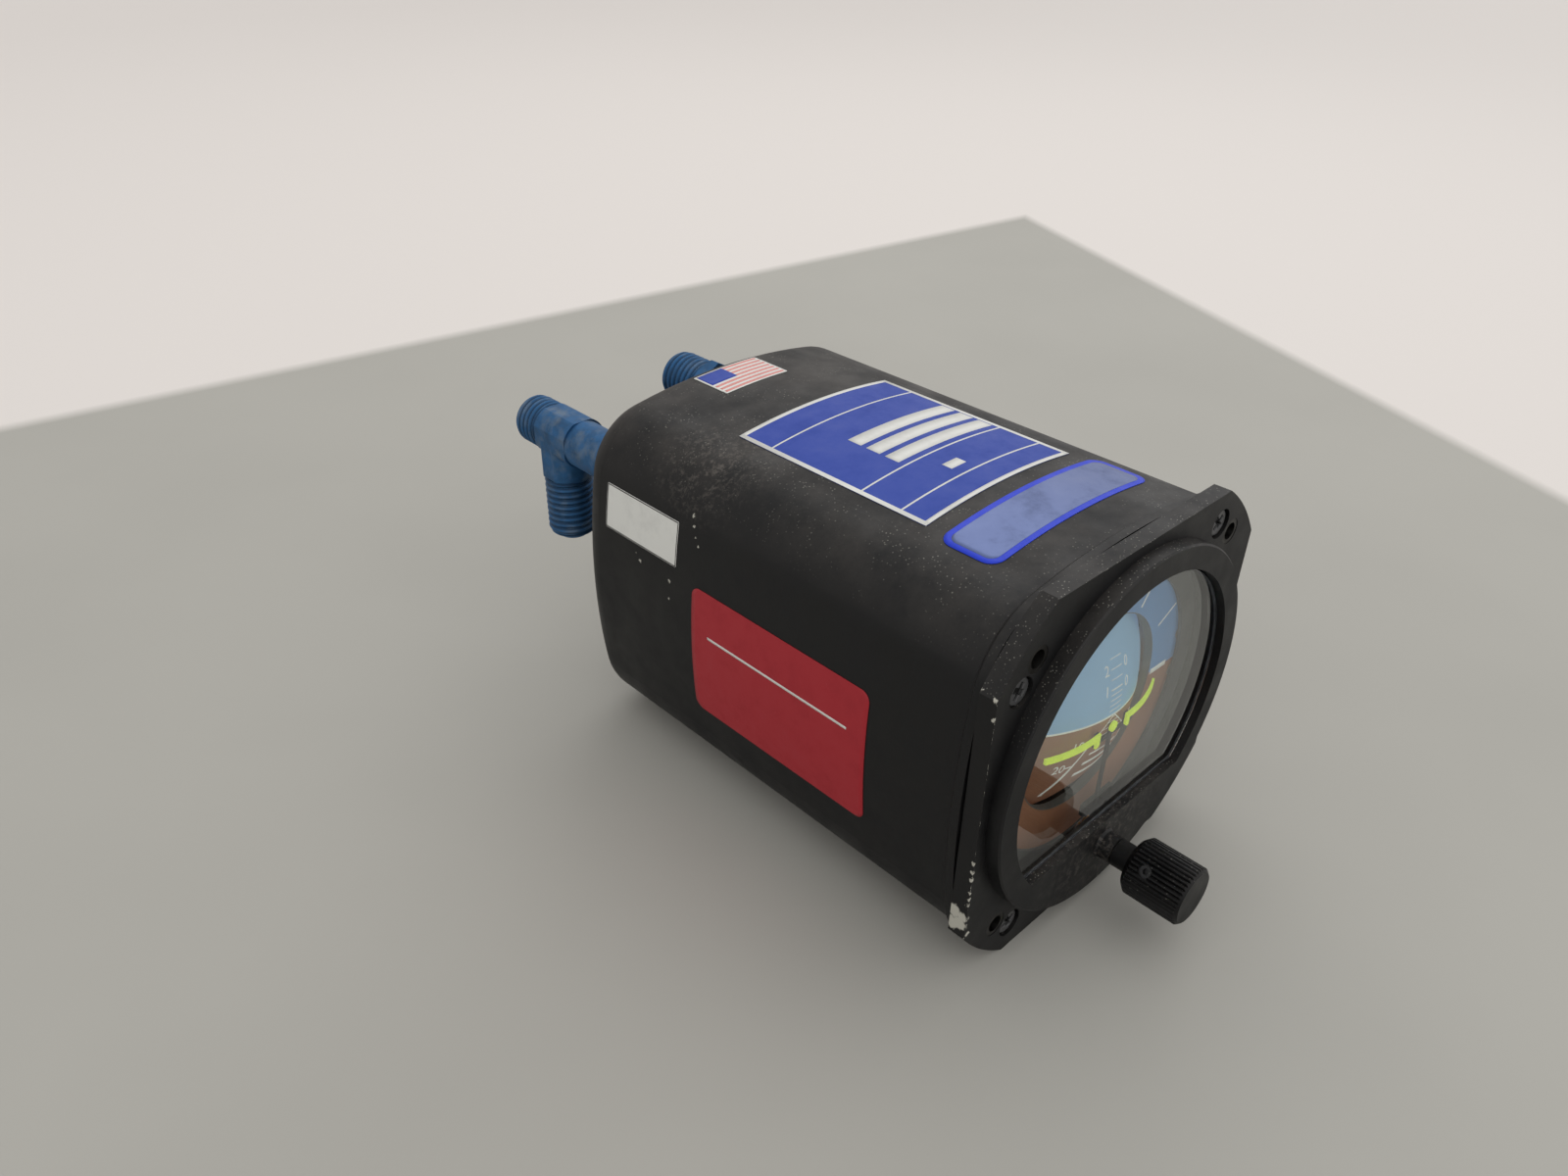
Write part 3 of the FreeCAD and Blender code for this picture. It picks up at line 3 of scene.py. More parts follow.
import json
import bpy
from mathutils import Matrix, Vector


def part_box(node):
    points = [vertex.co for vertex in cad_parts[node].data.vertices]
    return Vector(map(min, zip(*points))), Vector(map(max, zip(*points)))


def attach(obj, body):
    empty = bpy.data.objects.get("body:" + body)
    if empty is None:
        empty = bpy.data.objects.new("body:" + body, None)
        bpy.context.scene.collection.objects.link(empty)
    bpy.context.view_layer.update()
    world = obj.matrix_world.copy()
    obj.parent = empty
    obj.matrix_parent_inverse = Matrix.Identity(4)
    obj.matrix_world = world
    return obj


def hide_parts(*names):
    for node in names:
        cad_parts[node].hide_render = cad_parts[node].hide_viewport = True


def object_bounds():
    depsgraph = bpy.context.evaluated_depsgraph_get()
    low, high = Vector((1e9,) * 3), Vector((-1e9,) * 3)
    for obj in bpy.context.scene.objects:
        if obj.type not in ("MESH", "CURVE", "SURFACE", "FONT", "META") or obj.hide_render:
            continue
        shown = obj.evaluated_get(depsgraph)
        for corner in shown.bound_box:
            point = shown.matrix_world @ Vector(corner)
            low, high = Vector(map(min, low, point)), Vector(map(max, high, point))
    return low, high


bl_info = {
    "name": "Attitude Indicator Finish",
    "version": (1, 0, 0),
    "blender": (4, 5, 0),
    "location": "3D View > Sidebar > Attitude Indicator",
    "description": "Finishes, dial markings, stickers and threads of a gyro attitude indicator",
    "category": "Object",
}

from math import pi, radians

import bmesh
import bpy
import numpy as np
from mathutils import Quaternion, Vector

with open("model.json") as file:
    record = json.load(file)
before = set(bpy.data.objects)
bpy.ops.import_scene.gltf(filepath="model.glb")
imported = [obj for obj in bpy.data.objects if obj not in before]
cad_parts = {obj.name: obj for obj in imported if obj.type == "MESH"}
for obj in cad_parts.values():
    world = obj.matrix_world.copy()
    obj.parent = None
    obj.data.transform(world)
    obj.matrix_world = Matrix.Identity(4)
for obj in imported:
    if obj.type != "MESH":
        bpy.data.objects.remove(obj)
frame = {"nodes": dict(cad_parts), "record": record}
CAD_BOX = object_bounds()
MM = 0.001

# Gap that keeps a sticker or print clear of its ground, a vinyl's film and an ink's.
LIFT = 0.02 * MM
FILM = 0.1 * MM
INK = 0.03 * MM

# Scaled length after which a Wave texture repeats.
WAVE = 2 * pi / 20

# Sockets of a Mix node that mixes colours, and its output.
FACTOR = 0
LOW = 6
HIGH = 7
MIXED = 2

# Chips in the paint of the flange's edge and the case's left side, each x, y, z and radius in millimetres.
FLANGE_CHIPS = (
    (-41.7, 0.3, 39.3, 0.6), (-41.7, 3.5, 28.8, 0.6), (-41.7, 0.5, 27.9, 0.45), (-41.7, 0.3, 24.2, 0.4),
    (-41.7, 2.9, -22.3, 1.5), (-41.7, 1.4, -24.6, 1.5), (-41.7, 3.2, -25.4, 1.5), (-41.7, 0.9, -22.6, 1.0),
    (-41.7, 0.0, -8.6, 0.4), (-41.7, 0.0, -10.6, 0.5), (-41.7, 0.0, -12.4, 0.45), (-41.7, 0.0, -15.8, 0.4),
    (-41.7, 0.0, -17.4, 0.5), (-41.7, 0.0, -19.0, 0.4), (-40.6, 0.0, -27.0, 0.6), (-1.4, 0.0, 44.3, 1.0),
)
CASE_CHIPS = (
    (-38.2, 79.2, 28.1, 0.4), (-39.0, 78.4, 26.2, 0.25), (-39.3, 77.6, 24.0, 0.3), (-39.6, 76.7, 22.2, 0.25),
    (-40.4, 96.2, 12.6, 0.35), (-40.7, 95.0, 11.5, 0.35), (-40.8, 85.0, 10.9, 0.35), (-41.0, 85.2, 6.6, 0.3),
)
# Where dust lies thickest, each x, y, z and radius in millimetres: on the bezel's sill and the case's top.
SILL_DUST = (0, -1.5, -23, 26)
TOP_DUST = (-30, 82, 38, 17)

# Degrees on the drum: a pitch and its height, then a depth under the horizon with how far from the middle the
# lines that run to the horizon stand there, and half of their width in millimetres.
LADDER = ((0, 10, 25, 40), (0, 9.2, 19.5, 29.0))
LADDER_MARKS = (2, 4, 6, 8, 10, 15, 20, 25)
VANISHING = ((0, 7.6, 14.9, 29.4), (0, 9.6, 13.9, 20.6))
VANISHING_WIDTH = ((0, 12, 20, 31), (0.2, 0.25, 0.5, 0.6))
# Level lines on the ground: fine ones near the horizon, and broader ones with half of their width in degrees.
FAR_LINES = (0.9, 2.5, 4.4, 6.4)
NEAR_LINES = ((9.4, 0.25), (13.0, 0.4), (17.0, 0.7), (22.0, 0.9))
GROUND_TICKS = {"10": 7.6, "20": 15.9}
# Bank marks: degrees from the top, ends past the ring's opening in millimetres, and width in marks.
BANK_MARKS = (
    (90, 0.7, 6.7, 2.6), (60, 2.4, 8.9, 0.8), (30, 1.4, 9.4, 1.0), (10, 2.4, 7.4, 0.7), (20, 2.4, 7.4, 0.7),
)

# Studio, in metres: the sheet's sides and ends, where its tilt ends, where and how steeply it rises behind,
# the lamps, and each straight edge of the mat as a direction across it and its distance that way.
SHEET_SIDES = (-3.0, 3.0)
SHEET_ENDS = (-1.5, 2.8)
TILT_END = 0.5
RISE_START = 1.4
RISE = 1.2
LAMPS = {"key": (0.45, 0.35, 0.75), "fill": (0.1, -0.8, 0.5)}
LAMP_SIZE = 0.9
MAT_EDGES = (((0.14, 1.0, 0.0), 0.366), ((1.0, -0.41, 0.0), 0.272))
SENSOR_MM = 36.0
NEAR_CLIP = 0.005


# ---- settings -------------------------------------------------------------------------------


def linear(code):
    """sRGB hex code as linear RGB: c / 12.92 up to 0.04045, else ((c + 0.055) / 1.055) ** 2.4."""
    c = np.array([int(code[i : i + 2], 16) for i in (1, 3, 5)]) / 255
    return tuple(float(x) for x in np.where(c <= 0.04045, c / 12.92, ((c + 0.055) / 1.055) ** 2.4))


def colour(name, code, description):
    """A colour property whose default is an sRGB hex code."""
    return bpy.props.FloatVectorProperty(
        name=name, description=description, subtype="COLOR", size=3, min=0, max=1, default=linear(code)
    )


def length(name, mm, description):
    """A length property in metres, its default given in millimetres."""
    return bpy.props.FloatProperty(
        name=name, description=description, subtype="DISTANCE", unit="LENGTH", default=mm * MM, precision=5
    )


def angle(name, degrees, description):
    """An angle property in radians, its default given in degrees."""
    return bpy.props.FloatProperty(
        name=name, description=description, subtype="ANGLE", unit="ROTATION", default=radians(degrees)
    )


def span(name, values, description):
    """Two edges of a sticker along each of two directions, in metres, the defaults given in millimetres."""
    return bpy.props.FloatVectorProperty(
        name=name, description=description, subtype="XYZ_LENGTH", unit="LENGTH", size=4,
        default=[v * MM for v in values], precision=5,
    )


def level(name, value, description, unit="NONE"):
    """A plain number property."""
    return bpy.props.FloatProperty(name=name, description=description, default=value, min=0, unit=unit)


class CasePaint(bpy.types.PropertyGroup):
    """Colours of the housing and its fittings."""

    enamel: colour("Black enamel", "#0a0a0b", "Flat black baked paint of the housing and flange")
    dust: colour("Dust", "#56514c", "Brownish dust that lies on faces that look up")
    primer: colour("Bare chips", "#b3b1a6", "Primer and bare metal in the chips of the paint")
    blue: colour("Blue anodising", "#2f6291", "Dyed coating of the flare fittings")
    worn_blue: colour("Worn anodising", "#76828b", "Rubbed and chalky places of the dyed coating")
    rubber: colour("Rubber", "#121314", "Case gasket")
    seal: colour("Window seal", "#55565a", "Edge of the strip that the glass seats on")
    sheen: level("Enamel gloss", 0.3, "Specular level of the flat enamel")


class Window(bpy.types.PropertyGroup):
    """Sizes of the stepped window glass."""

    proud: length("Stands out", 1.5, "How far its front stands in front of the flange's face")
    radius: length("Plug radius", 34.2, "Radius of the part that fills the bezel's opening")
    sill: length("Plug sill", -22.2, "Height of that part's straight lower edge")
    chamfer: length("Chamfer", 0.3, "Ground edge of the front face")


class DialPaint(bpy.types.PropertyGroup):
    """Colours and markings of the dial."""

    sky: colour("Sky", "#a6d4fb", "Upper half of the horizon drum")
    ground: colour("Ground", "#a97458", "Lower half of the horizon drum")
    ring_sky: colour("Ring sky", "#6c9fd8", "Upper half of the bank ring")
    lip: colour("Ring lip", "#5d605e", "Bare grey edge of the bank ring's opening")
    white: colour("Markings", "#f4f3ec", "Silk-screened lines and figures")
    lime: colour("Fluorescent lime", "#d9f23c", "Miniature aircraft")
    paint_tilt: angle("Drum tilt", 6.0, "Bank at which the caged gyro rests")
    paint_lift: angle("Drum lift", 3.0, "Pitch at which the caged gyro rests")
    paint_swing: angle("Ladder offset", 2.0, "Offset of the pitch ladder round the drum")
    ring_tilt: angle("Ring tilt", 2.8, "Bank shown on the bank ring")
    line: length("Line width", 0.42, "Width of the horizon line")
    figure: length("Figure height", 3.2, "Height of the ladder's figures")
    mark: length("Mark width", 0.5, "Width of the marks on the bank ring")
    opening: length("Ring opening", 21.6, "Radius at which the face of the bank ring starts")
    # Painted light: these glows make the dial's paint, its white markings and the lime aircraft give off
    # light of their own, which keeps them bright behind the glass.
    glow: level("Paint glow", 0.14, "Emission that keeps the painted faces bright behind the glass")
    mark_glow: level("Mark glow", 0.25, "Emission of the white markings")
    lime_glow: level("Lime glow", 0.5, "Emission of the fluorescent lime")


class Stickers(bpy.types.PropertyGroup):
    """Places and colours of the blank stickers."""

    case_bead: length("Front bead", 0.9, "How far the case's front bead stands out")
    side_radius: length("Side radius", 155.0, "Radius of the four shallow sides")
    rear_round: length("Rear round", 7.0, "Radius of the case's rear edge")
    red_place: span("Red sticker", (27.5, 77.5, -18, 13.3), "Front, rear, lower and upper edge")
    rule_place: span("Red sticker's rule", (32.4, 72.4, 2.5, 3.1), "Front, rear, lower and upper edge")
    white_place: span("White sticker", (83, 107, 15, 25.3), "Front, rear, lower and upper edge")
    plate_place: span("Data plate", (-22, 23, 33, 83.7), "Left, right, front and rear edge")
    silver_place: span("Foil sticker", (-24, 26, 15.8, 28.8), "Left, right, front and rear edge")
    stripe_place: span("Striped sticker", (-11.1, 7.5, 99.8, 111.2), "Left, right, front and rear edge")
    red: colour("Red vinyl", "#a3212c", "Ground of the red sticker")
    paper: colour("White vinyl", "#d9d9d4", "Ground of the white sticker")
    plate_blue: colour("Plate blue", "#05369b", "Printed ground of the data plate")
    foil: colour("Foil", "#66739c", "Aluminium foil of the service sticker")
    foil_blue: colour("Foil border", "#1436c8", "Printed border of the service sticker")
    stripe_red: colour("Stripe red", "#d98f89", "Red stripes")


class Threads(bpy.types.PropertyGroup):
    """Sizes of the flare threads and of the screws' recesses."""

    pitch: length("Pitch", 1.6, "Distance from crest to crest")
    crest: length("Crest", 0.5, "Height of a crest over the fitting's end")
    cross: length("Cross width", 1.1, "Width of a slot of the cross recess")
    reach: length("Cross reach", 1.7, "Half length of a slot of the cross recess")
    depth: length("Cross depth", 0.8, "Depth of the cross recess")
    head: length("Head height", 1.7, "Height of the screw's head")


class Studio(bpy.types.PropertyGroup):
    """Camera, lamps and floor."""

    place: bpy.props.FloatVectorProperty(
        name="Camera place", description="Where the camera stands", subtype="XYZ_LENGTH", unit="LENGTH",
        default=(-0.173212, -0.084266, 0.146409), precision=6,
    )
    look: bpy.props.FloatVectorProperty(
        name="Camera direction", description="Direction in which the camera looks", subtype="DIRECTION",
        default=(0.590569, 0.600462, -0.539142), precision=6,
    )
    roll: angle("Camera roll", 1.207, "Turn of the camera about its own axis")
    lens: level("Focal length", 27.458, "For a sensor 36 mm wide", "CAMERA")
    floor: colour("Floor", "#adaba4", "Plain pale grey mat")
    wall: colour("Backdrop", "#ddd7d2", "Plain white sheet under the mat and behind it")
    key: level("Key lamp", 2.0, "Power in watts", "POWER")
    fill: level("Fill lamp", 0.8, "Power in watts", "POWER")
    ambient: level("Ambient", 0.88, "Strength of the even light")


GROUPS = {
    "attitude_case": CasePaint,
    "attitude_window": Window,
    "attitude_dial": DialPaint,
    "attitude_stickers": Stickers,
    "attitude_threads": Threads,
    "attitude_studio": Studio,
}


# ---- meshes ---------------------------------------------------------------------------------


def grid_faces(points, wrap_rows=False, wrap_cols=False):
    """Vertices and quads of a grid points[i, j]; a wrapped direction joins its last line to its first."""
    rows, cols = points.shape[:2]
    at = np.arange(rows * cols).reshape(rows, cols)
    if wrap_rows:
        at = np.vstack([at, at[:1]])
    if wrap_cols:
        at = np.hstack([at, at[:, :1]])
    quads = np.stack([at[:-1, :-1], at[1:, :-1], at[1:, 1:], at[:-1, 1:]], -1).reshape(-1, 4)
    return points.reshape(-1, 3), quads


def slab(surface, a, b, lift, thick):
    """Closed shell on surface(a, b, height) from lift to lift + thick: each row runs out along its upper
    grid and back along its lower one, and the end rows close onto the lower one."""
    low, high = surface(a, b, lift), surface(a, b, lift + thick)
    high = np.concatenate([low[:1], high, low[-1:]])
    low = np.concatenate([low[:1], low, low[-1:]])
    return grid_faces(np.concatenate([high, low[:, ::-1]], 1), wrap_cols=True)


def ride_piece(name, parts, material, body, smooth=True, replaces=()):
    """One object from several (vertices, faces) parts, merged, with its faces outwards, riding on a body."""
    offsets = np.cumsum([0] + [len(v) for v, f in parts[:-1]]).tolist()
    points = np.concatenate([v for v, f in parts])
    faces = [[int(i) + o for i in face] for (v, f), o in zip(parts, offsets) for face in f]
    mesh = bpy.data.meshes.new(name)
    mesh.from_pydata(points.tolist(), [], faces)
    shape = bmesh.new()
    shape.from_mesh(mesh)
    bmesh.ops.remove_doubles(shape, verts=shape.verts, dist=2e-6)
    bmesh.ops.dissolve_degenerate(shape, edges=shape.edges, dist=1e-7)
    bmesh.ops.recalc_face_normals(shape, faces=shape.faces)
    shape.to_mesh(mesh)
    shape.free()
    if smooth:
        mesh.shade_smooth()
    mesh.materials.append(material)
    piece = bpy.data.objects.new(name, mesh)
    bpy.context.scene.collection.objects.link(piece)
    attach(piece, body)
    if replaces:
        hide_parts(*replaces)


def vertices(mesh):
    """A mesh's vertices as one array."""
    co = np.empty(len(mesh.vertices) * 3, np.float32)
    mesh.vertices.foreach_get("co", co)
    return co.reshape(-1, 3)


def rounded_rows(half_w, half_h, radius, n=8):
    """Rows of a rectangle with rounded corners, r their radius: height v, and half its width
    w = W - r + sqrt(r^2 - (|v| - H + r)^2)."""
    turn = np.linspace(0, pi / 2, n)
    top = half_h - radius + radius * np.sin(turn)
    v = np.concatenate([-top[::-1], np.linspace(-(half_h - radius), half_h - radius, 2 * n)[1:-1], top])
    over = np.clip(np.abs(v) - half_h + radius, 0, radius)
    return v, half_w - radius + np.sqrt(radius**2 - over**2)


def sticker(place, radius, surface, lift=LIFT, thick=FILM, n=40):
    """A thin sheet with rounded corners on surface(a, b, height), from (a0, a1, b0, b1)."""
    a0, a1, b0, b1 = place
    v, w = rounded_rows((a1 - a0) / 2, (b1 - b0) / 2, radius)
    a = (a0 + a1) / 2 + np.linspace(-1, 1, n)[None, :] * w[:, None]
    b = np.broadcast_to((b0 + b1) / 2 + v[:, None], a.shape)
    return [slab(surface, a, b, lift, thick)]


def bars(rectangles, surface, lift=LIFT + FILM, n=24, m=3):
    """Printed bars as thin slabs on surface(a, b, height), each from (a0, a1, b0, b1)."""
    made = []
    for a0, a1, b0, b1 in rectangles:
        a, b = np.meshgrid(np.linspace(a0, a1, n), np.linspace(b0, b1, m))
        made.append(slab(surface, a, b, lift, INK))
    return made


def inset(place, by):
    """A place drawn in by the same amount on its four sides."""
    return np.array(place) + np.array([1, -1, 1, -1]) * by


def frame_bars(place, width):
    """Four bars that frame a rectangle."""
    a0, a1, b0, b1 = place
    ends = [(a0, a1, b0, b0 + width), (a0, a1, b1 - width, b1)]
    return ends + [(a0, a0 + width, b0, b1), (a1 - width, a1, b0, b1)]


def lens_ring(radius, sill, arc_steps=200, chord_steps=60):
    """Outline of the window in x and z: an arc over the top, x = R cos t and z = R sin t from sill to sill,
    and back along the straight sill."""
    end = np.arcsin(sill / radius)
    turn = np.linspace(end, pi - end, arc_steps)
    arc = radius * np.stack([np.cos(turn), np.sin(turn)], -1)
    along = np.linspace(arc[-1, 0], arc[0, 0], chord_steps)[1:-1]
    return np.concatenate([arc, np.stack([along, np.full_like(along, sill)], -1)])


def thread(centre, axis, extent, core, crest, pitch, n=48, rows_per_turn=10, sunk=0.06 * MM):
    """Screw thread about a centre: radius = core + crest * ridge(along / pitch - t / 2 pi), sunk into the
    core over half a turn at both ends and closed by an inner wall."""
    axis = np.array(axis, float)
    along = np.linspace(-extent / 2, extent / 2, int(extent / pitch * rows_per_turn))
    t = np.linspace(0, 2 * pi, n, endpoint=False)
    phase = along[:, None] / pitch - t[None, :] / (2 * pi)
    ridge = 1 - np.abs(2 * (phase % 1) - 1)
    fade = np.clip((extent / 2 - np.abs(along)) / (pitch / 2), 0, 1)[:, None]
    outer = core + crest * np.clip(1.5 * ridge - 0.25, 0, 1) * fade - sunk * (1 - fade)
    inner = np.full((2, n), core - 4 * sunk)
    radius = np.vstack([outer, inner])
    along = np.concatenate([along, along[[-1, 0]]])
    side = np.cross(axis, (1, 0, 0))
    other = np.cross(axis, side)
    spun = radius[..., None] * (np.cos(t)[None, :, None] * side + np.sin(t)[None, :, None] * other)
    return grid_faces(np.array(centre) + along[:, None, None] * axis + spun, wrap_rows=True, wrap_cols=True)


def quadrants(node):
    """A node's four copies, one in each quadrant of x and z: middle x and z, lowest and highest y, and
    radius."""
    co = vertices(frame["nodes"][node].data)
    found = []
    for sx in (-1, 1):
        for sz in (-1, 1):
            part = co[(co[:, 0] * sx > 0) & (co[:, 2] * sz > 0)]
            low, high = part.min(0), part.max(0)
            middle = (low + high) / 2
            found.append((middle[0], middle[2], low[1], high[1], (high[0] - low[0]) / 2))
    return found


def case_half(axis):
    """Half width or half height of the case behind its front bead."""
    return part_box("case_shell")[1][axis] - bpy.context.scene.attitude_stickers.case_bead


def sag(across, radius):
    """Fall of a shallow arc at a distance from its middle: R - sqrt(R^2 - d^2)."""
    return radius - np.sqrt(radius**2 - across**2)


def rear_drop(y):
    """Fall of the case's rear edge, an arc of its own radius."""
    r = bpy.context.scene.attitude_stickers.rear_round
    return sag(np.clip(y - (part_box("case_shell")[1].y - r), 0, r * 0.99), r)


def on_side(y, z, height):
    """Left side of the case: x = -(half width - sag(z) - rear drop + height)."""
    across = case_half(0) - sag(z, bpy.context.scene.attitude_stickers.side_radius) - rear_drop(y)
    return np.stack([-(across + height), y, z], -1)


def on_top(x, y, height):
    """Top of the case: z = half height - sag(x) - rear drop + height."""
    up = case_half(2) - sag(x, bpy.context.scene.attitude_stickers.side_radius) - rear_drop(y)
    return np.stack([x, y, up + height], -1)


def drum_size():
    """Centre and radius of the horizon drum, which is cut off behind."""
    low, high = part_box("horizon_drum")
    radius = (high.z - low.z) / 2
    return (0, low.y + radius, 0), radius


def on_drum(a, b, height):
    """Drum's face at angle a round it and b up it: C + (R + height) * (sin a cos b, -cos a cos b, sin b),
    lifted about X and tilted about Y as the caged gyro rests."""
    dial = bpy.context.scene.attitude_dial
    centre, radius = drum_size()
    a = a + dial.paint_swing
    x, y, z = np.sin(a) * np.cos(b), -np.cos(a) * np.cos(b), np.sin(b)
    lift, tilt = dial.paint_lift, dial.paint_tilt
    y, z = y * np.cos(lift) + z * np.sin(lift), -y * np.sin(lift) + z * np.cos(lift)
    x, z = x * np.cos(tilt) + z * np.sin(tilt), -x * np.sin(tilt) + z * np.cos(tilt)
    return np.array(centre) + np.asarray(radius + height)[..., None] * np.stack([x, y, z], -1)


def on_ring(turn, radius, height):
    """Face of the bank ring at an angle from the top and a radius."""
    turn = turn + bpy.context.scene.attitude_dial.ring_tilt
    y = np.full_like(turn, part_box("roll_ring")[0].y - height)
    return np.stack([radius * np.sin(turn), y, radius * np.cos(turn)], -1)


def figures(words, size, surface):
    """Figures as closed (vertices, faces) parts, one ink thick, each (text, a, b) centred on surface(a, b,
    height)."""
    made = []
    for text, a, b in words:
        curve = bpy.data.curves.new("figure", "FONT")
        curve.body = text
        curve.size = size
        curve.extrude = INK / 2
        curve.resolution_u = 3
        curve.align_x = "CENTER"
        curve.align_y = "CENTER"
        holder = bpy.data.objects.new("figure", curve)
        mesh = bpy.data.meshes.new_from_object(holder)
        co = vertices(mesh) + (a, b, LIFT + INK / 2)
        made.append((surface(*co.T), [tuple(f.vertices) for f in mesh.polygons]))
        bpy.data.objects.remove(holder)
        bpy.data.curves.remove(curve)
        bpy.data.meshes.remove(mesh)
    return made


# ---- materials ------------------------------------------------------------------------------


def rgba(value):
    """A colour property, hex code or linear colour as four numbers."""
    return (*(linear(value) if isinstance(value, str) else value), 1.0)


def tone(base, factor, lift=0.0):
    """A linear colour scaled and lifted."""
    return tuple(min(1.0, c * factor + lift) for c in base)


def wire(tree, node, sockets):
    """Sets a node's sockets, in order or by name or number, and links those whose value is another's
    output."""
    for key, value in sockets.items() if isinstance(sockets, dict) else enumerate(sockets):
        socket = node.inputs[key]
        if isinstance(value, bpy.types.NodeSocket):
            tree.links.new(value, socket)
        else:
            socket.default_value = rgba(value) if socket.type == "RGBA" else value


def add(tree, kind, sockets=(), out=0, **settings):
    """Adds a shader node with its settings, sockets and links, and gives one of its outputs."""
    node = tree.nodes.new("ShaderNode" + kind)
    for name, value in settings.items():
        setattr(node, name, value)
    wire(tree, node, sockets)
    return node.outputs[out] if node.outputs else None


def begin(name, sockets):
    """A new material with its shader and object coordinates: material, tree, shader, coordinates."""
    material = bpy.data.materials.new(name)
    material.use_nodes = True
    tree = material.node_tree
    tree.nodes.clear()
    surface = add(tree, "BsdfPrincipled", sockets)
    add(tree, "OutputMaterial", (surface,))
    return material, tree, surface.node, add(tree, "TexCoord", out="Object")


def reopen(material):
    """What a finished material is made of: tree, shader, coordinates and the output that colours it."""
    tree = material.node_tree
    shader = next(n for n in tree.nodes if n.type == "BSDF_PRINCIPLED")
    coords = next(n for n in tree.nodes if n.type == "TEX_COORD").outputs["Object"]
    return tree, shader, coords, shader.inputs["Base Color"].links[0].from_socket


def coats(tree, finish, *laid):
    """Coats laid over a finish, each (mask, colour): where its mask is 1, a coat hides what is under it."""
    for mask, coat in laid:
        finish = add(tree, "Mix", {FACTOR: mask, LOW: finish, HIGH: coat}, MIXED, data_type="RGBA")
    return finish


def clouds(tree, coords, size_mm, detail, rough, *levels):
    """Masks of one cloudy noise of a size in millimetres, each from levels (low, high) or (low, high, to,
    to)."""
    sockets = {"Vector": coords, "Scale": 1 / (size_mm * MM), "Detail": detail, "Roughness": rough}
    noise = add(tree, "TexNoise", sockets)
    masks = [add(tree, "MapRange", (noise, *level)) for level in levels]
    return masks if len(masks) > 1 else masks[0]


def grain_bump(tree, shader, coords, size_mm, height_mm, strength=0.5):
    """Fine relief of a given grain size and height, pressed into the shader's normal."""
    grain = add(tree, "TexNoise", {"Vector": coords, "Scale": 1 / (size_mm * MM), "Detail": 3.0})
    bump = add(tree, "Bump", {"Height": grain, "Strength": strength, "Distance": height_mm * MM})
    wire(tree, shader, {"Normal": bump})


def settled_dust(tree, coords, base, amount, grit, patch):
    """Dust on faces that look up, in drifts of about 20 mm, with pale grit of about 0.3 mm, and more of it
    within a patch (x, y, z, radius) in millimetres: the colour output."""
    case = bpy.context.scene.attitude_case
    normal = add(tree, "NewGeometry", out="Normal")
    up = add(tree, "MapRange", (add(tree, "SeparateXYZ", (normal,), "Z"), 0.3, 0.95))
    drifted = add(tree, "Math", (up, clouds(tree, coords, 22, 7.0, 0.7, (0.38, 0.72))), operation="MULTIPLY")
    dusty = coats(tree, base, (add(tree, "Math", (drifted, amount), operation="MULTIPLY"), case.dust))
    apart_mm = 1.1 - 0.75 * grit
    specks = add(tree, "TexVoronoi", {"Vector": coords, "Scale": 1 / (apart_mm * MM)}, "Distance")
    small = add(tree, "MapRange", (specks, 0.12, 0.22, 1.0, 0.0))
    where = clouds(tree, coords, 7, 5.0, 0.7, (0.55 - 0.25 * grit, 0.7 - 0.2 * grit))
    shown = grit
    for mask in (small, where, up):
        shown = add(tree, "Math", (shown, mask), operation="MULTIPLY")
    if patch:
        *place, reach = (v * MM for v in patch)
        apart = add(tree, "VectorMath", (coords, place), "Value", operation="DISTANCE")
        near = add(tree, "MapRange", (apart, 2 * MM, reach, 0.8, 0.0))
        torn = clouds(tree, coords, 1.6, 8.0, 0.8, (0.5, 0.62))
        thick = add(tree, "Math", (near, torn), operation="MULTIPLY")
        dusty = coats(tree, dusty, (thick, tone(case.dust, 1.2)))
    return coats(tree, dusty, (shown, case.primer))


def chips(tree, coords, places, ragged_mm=2.2):
    """Mask of ragged chips, each (x, y, z, radius) in millimetres: 1 where |p + ragged noise - place| <
    radius."""
    noise = {"Vector": coords, "Scale": 1 / (1.2 * MM), "Detail": 5.0, "Roughness": 0.7}
    swing = (add(tree, "TexNoise", noise, "Color"), (ragged_mm * MM,) * 3, (-ragged_mm / 2 * MM,) * 3)
    ragged = add(tree, "VectorMath", swing, operation="MULTIPLY_ADD")
    moved = add(tree, "VectorMath", (coords, ragged), operation="ADD")
    mask = 0.0
    for *place, radius in places:
        apart = add(tree, "VectorMath", (moved, [v * MM for v in place]), "Value", operation="DISTANCE")
        spot = add(tree, "MapRange", (apart, radius * 0.85 * MM, radius * 1.15 * MM, 1.0, 0.0))
        mask = add(tree, "Math", (mask, spot), operation="MAXIMUM")
    return mask


def baked_enamel(name, base, dust=0.5, rough=0.5, worn=(), grit=0.4, patch=(), gloss=1.0):
    """Flat black stoving enamel: a soft even sheen, slightly mottled, with a fine pebble from the spray
    gun, and chips through to primer at the places given."""
    case = bpy.context.scene.attitude_case
    material, tree, shader, coords = begin(name, {"IOR": 1.5, "Specular IOR Level": case.sheen * gloss})
    satin = (0.3, 0.7, rough - 0.08, rough + 0.12)
    pale, roughness = clouds(tree, coords, 9, 5.0, 0.5, (0.4, 0.75), satin)
    finish = coats(tree, base, (pale, tone(base, 1.8)))
    if dust:
        finish = settled_dust(tree, coords, finish, dust, grit, patch)
    if worn:
        finish = coats(tree, finish, (chips(tree, coords, worn), case.primer))
    wire(tree, shader, {"Base Color": finish, "Roughness": roughness})
    grain_bump(tree, shader, coords, 0.6, 0.05, 0.35)
    return material


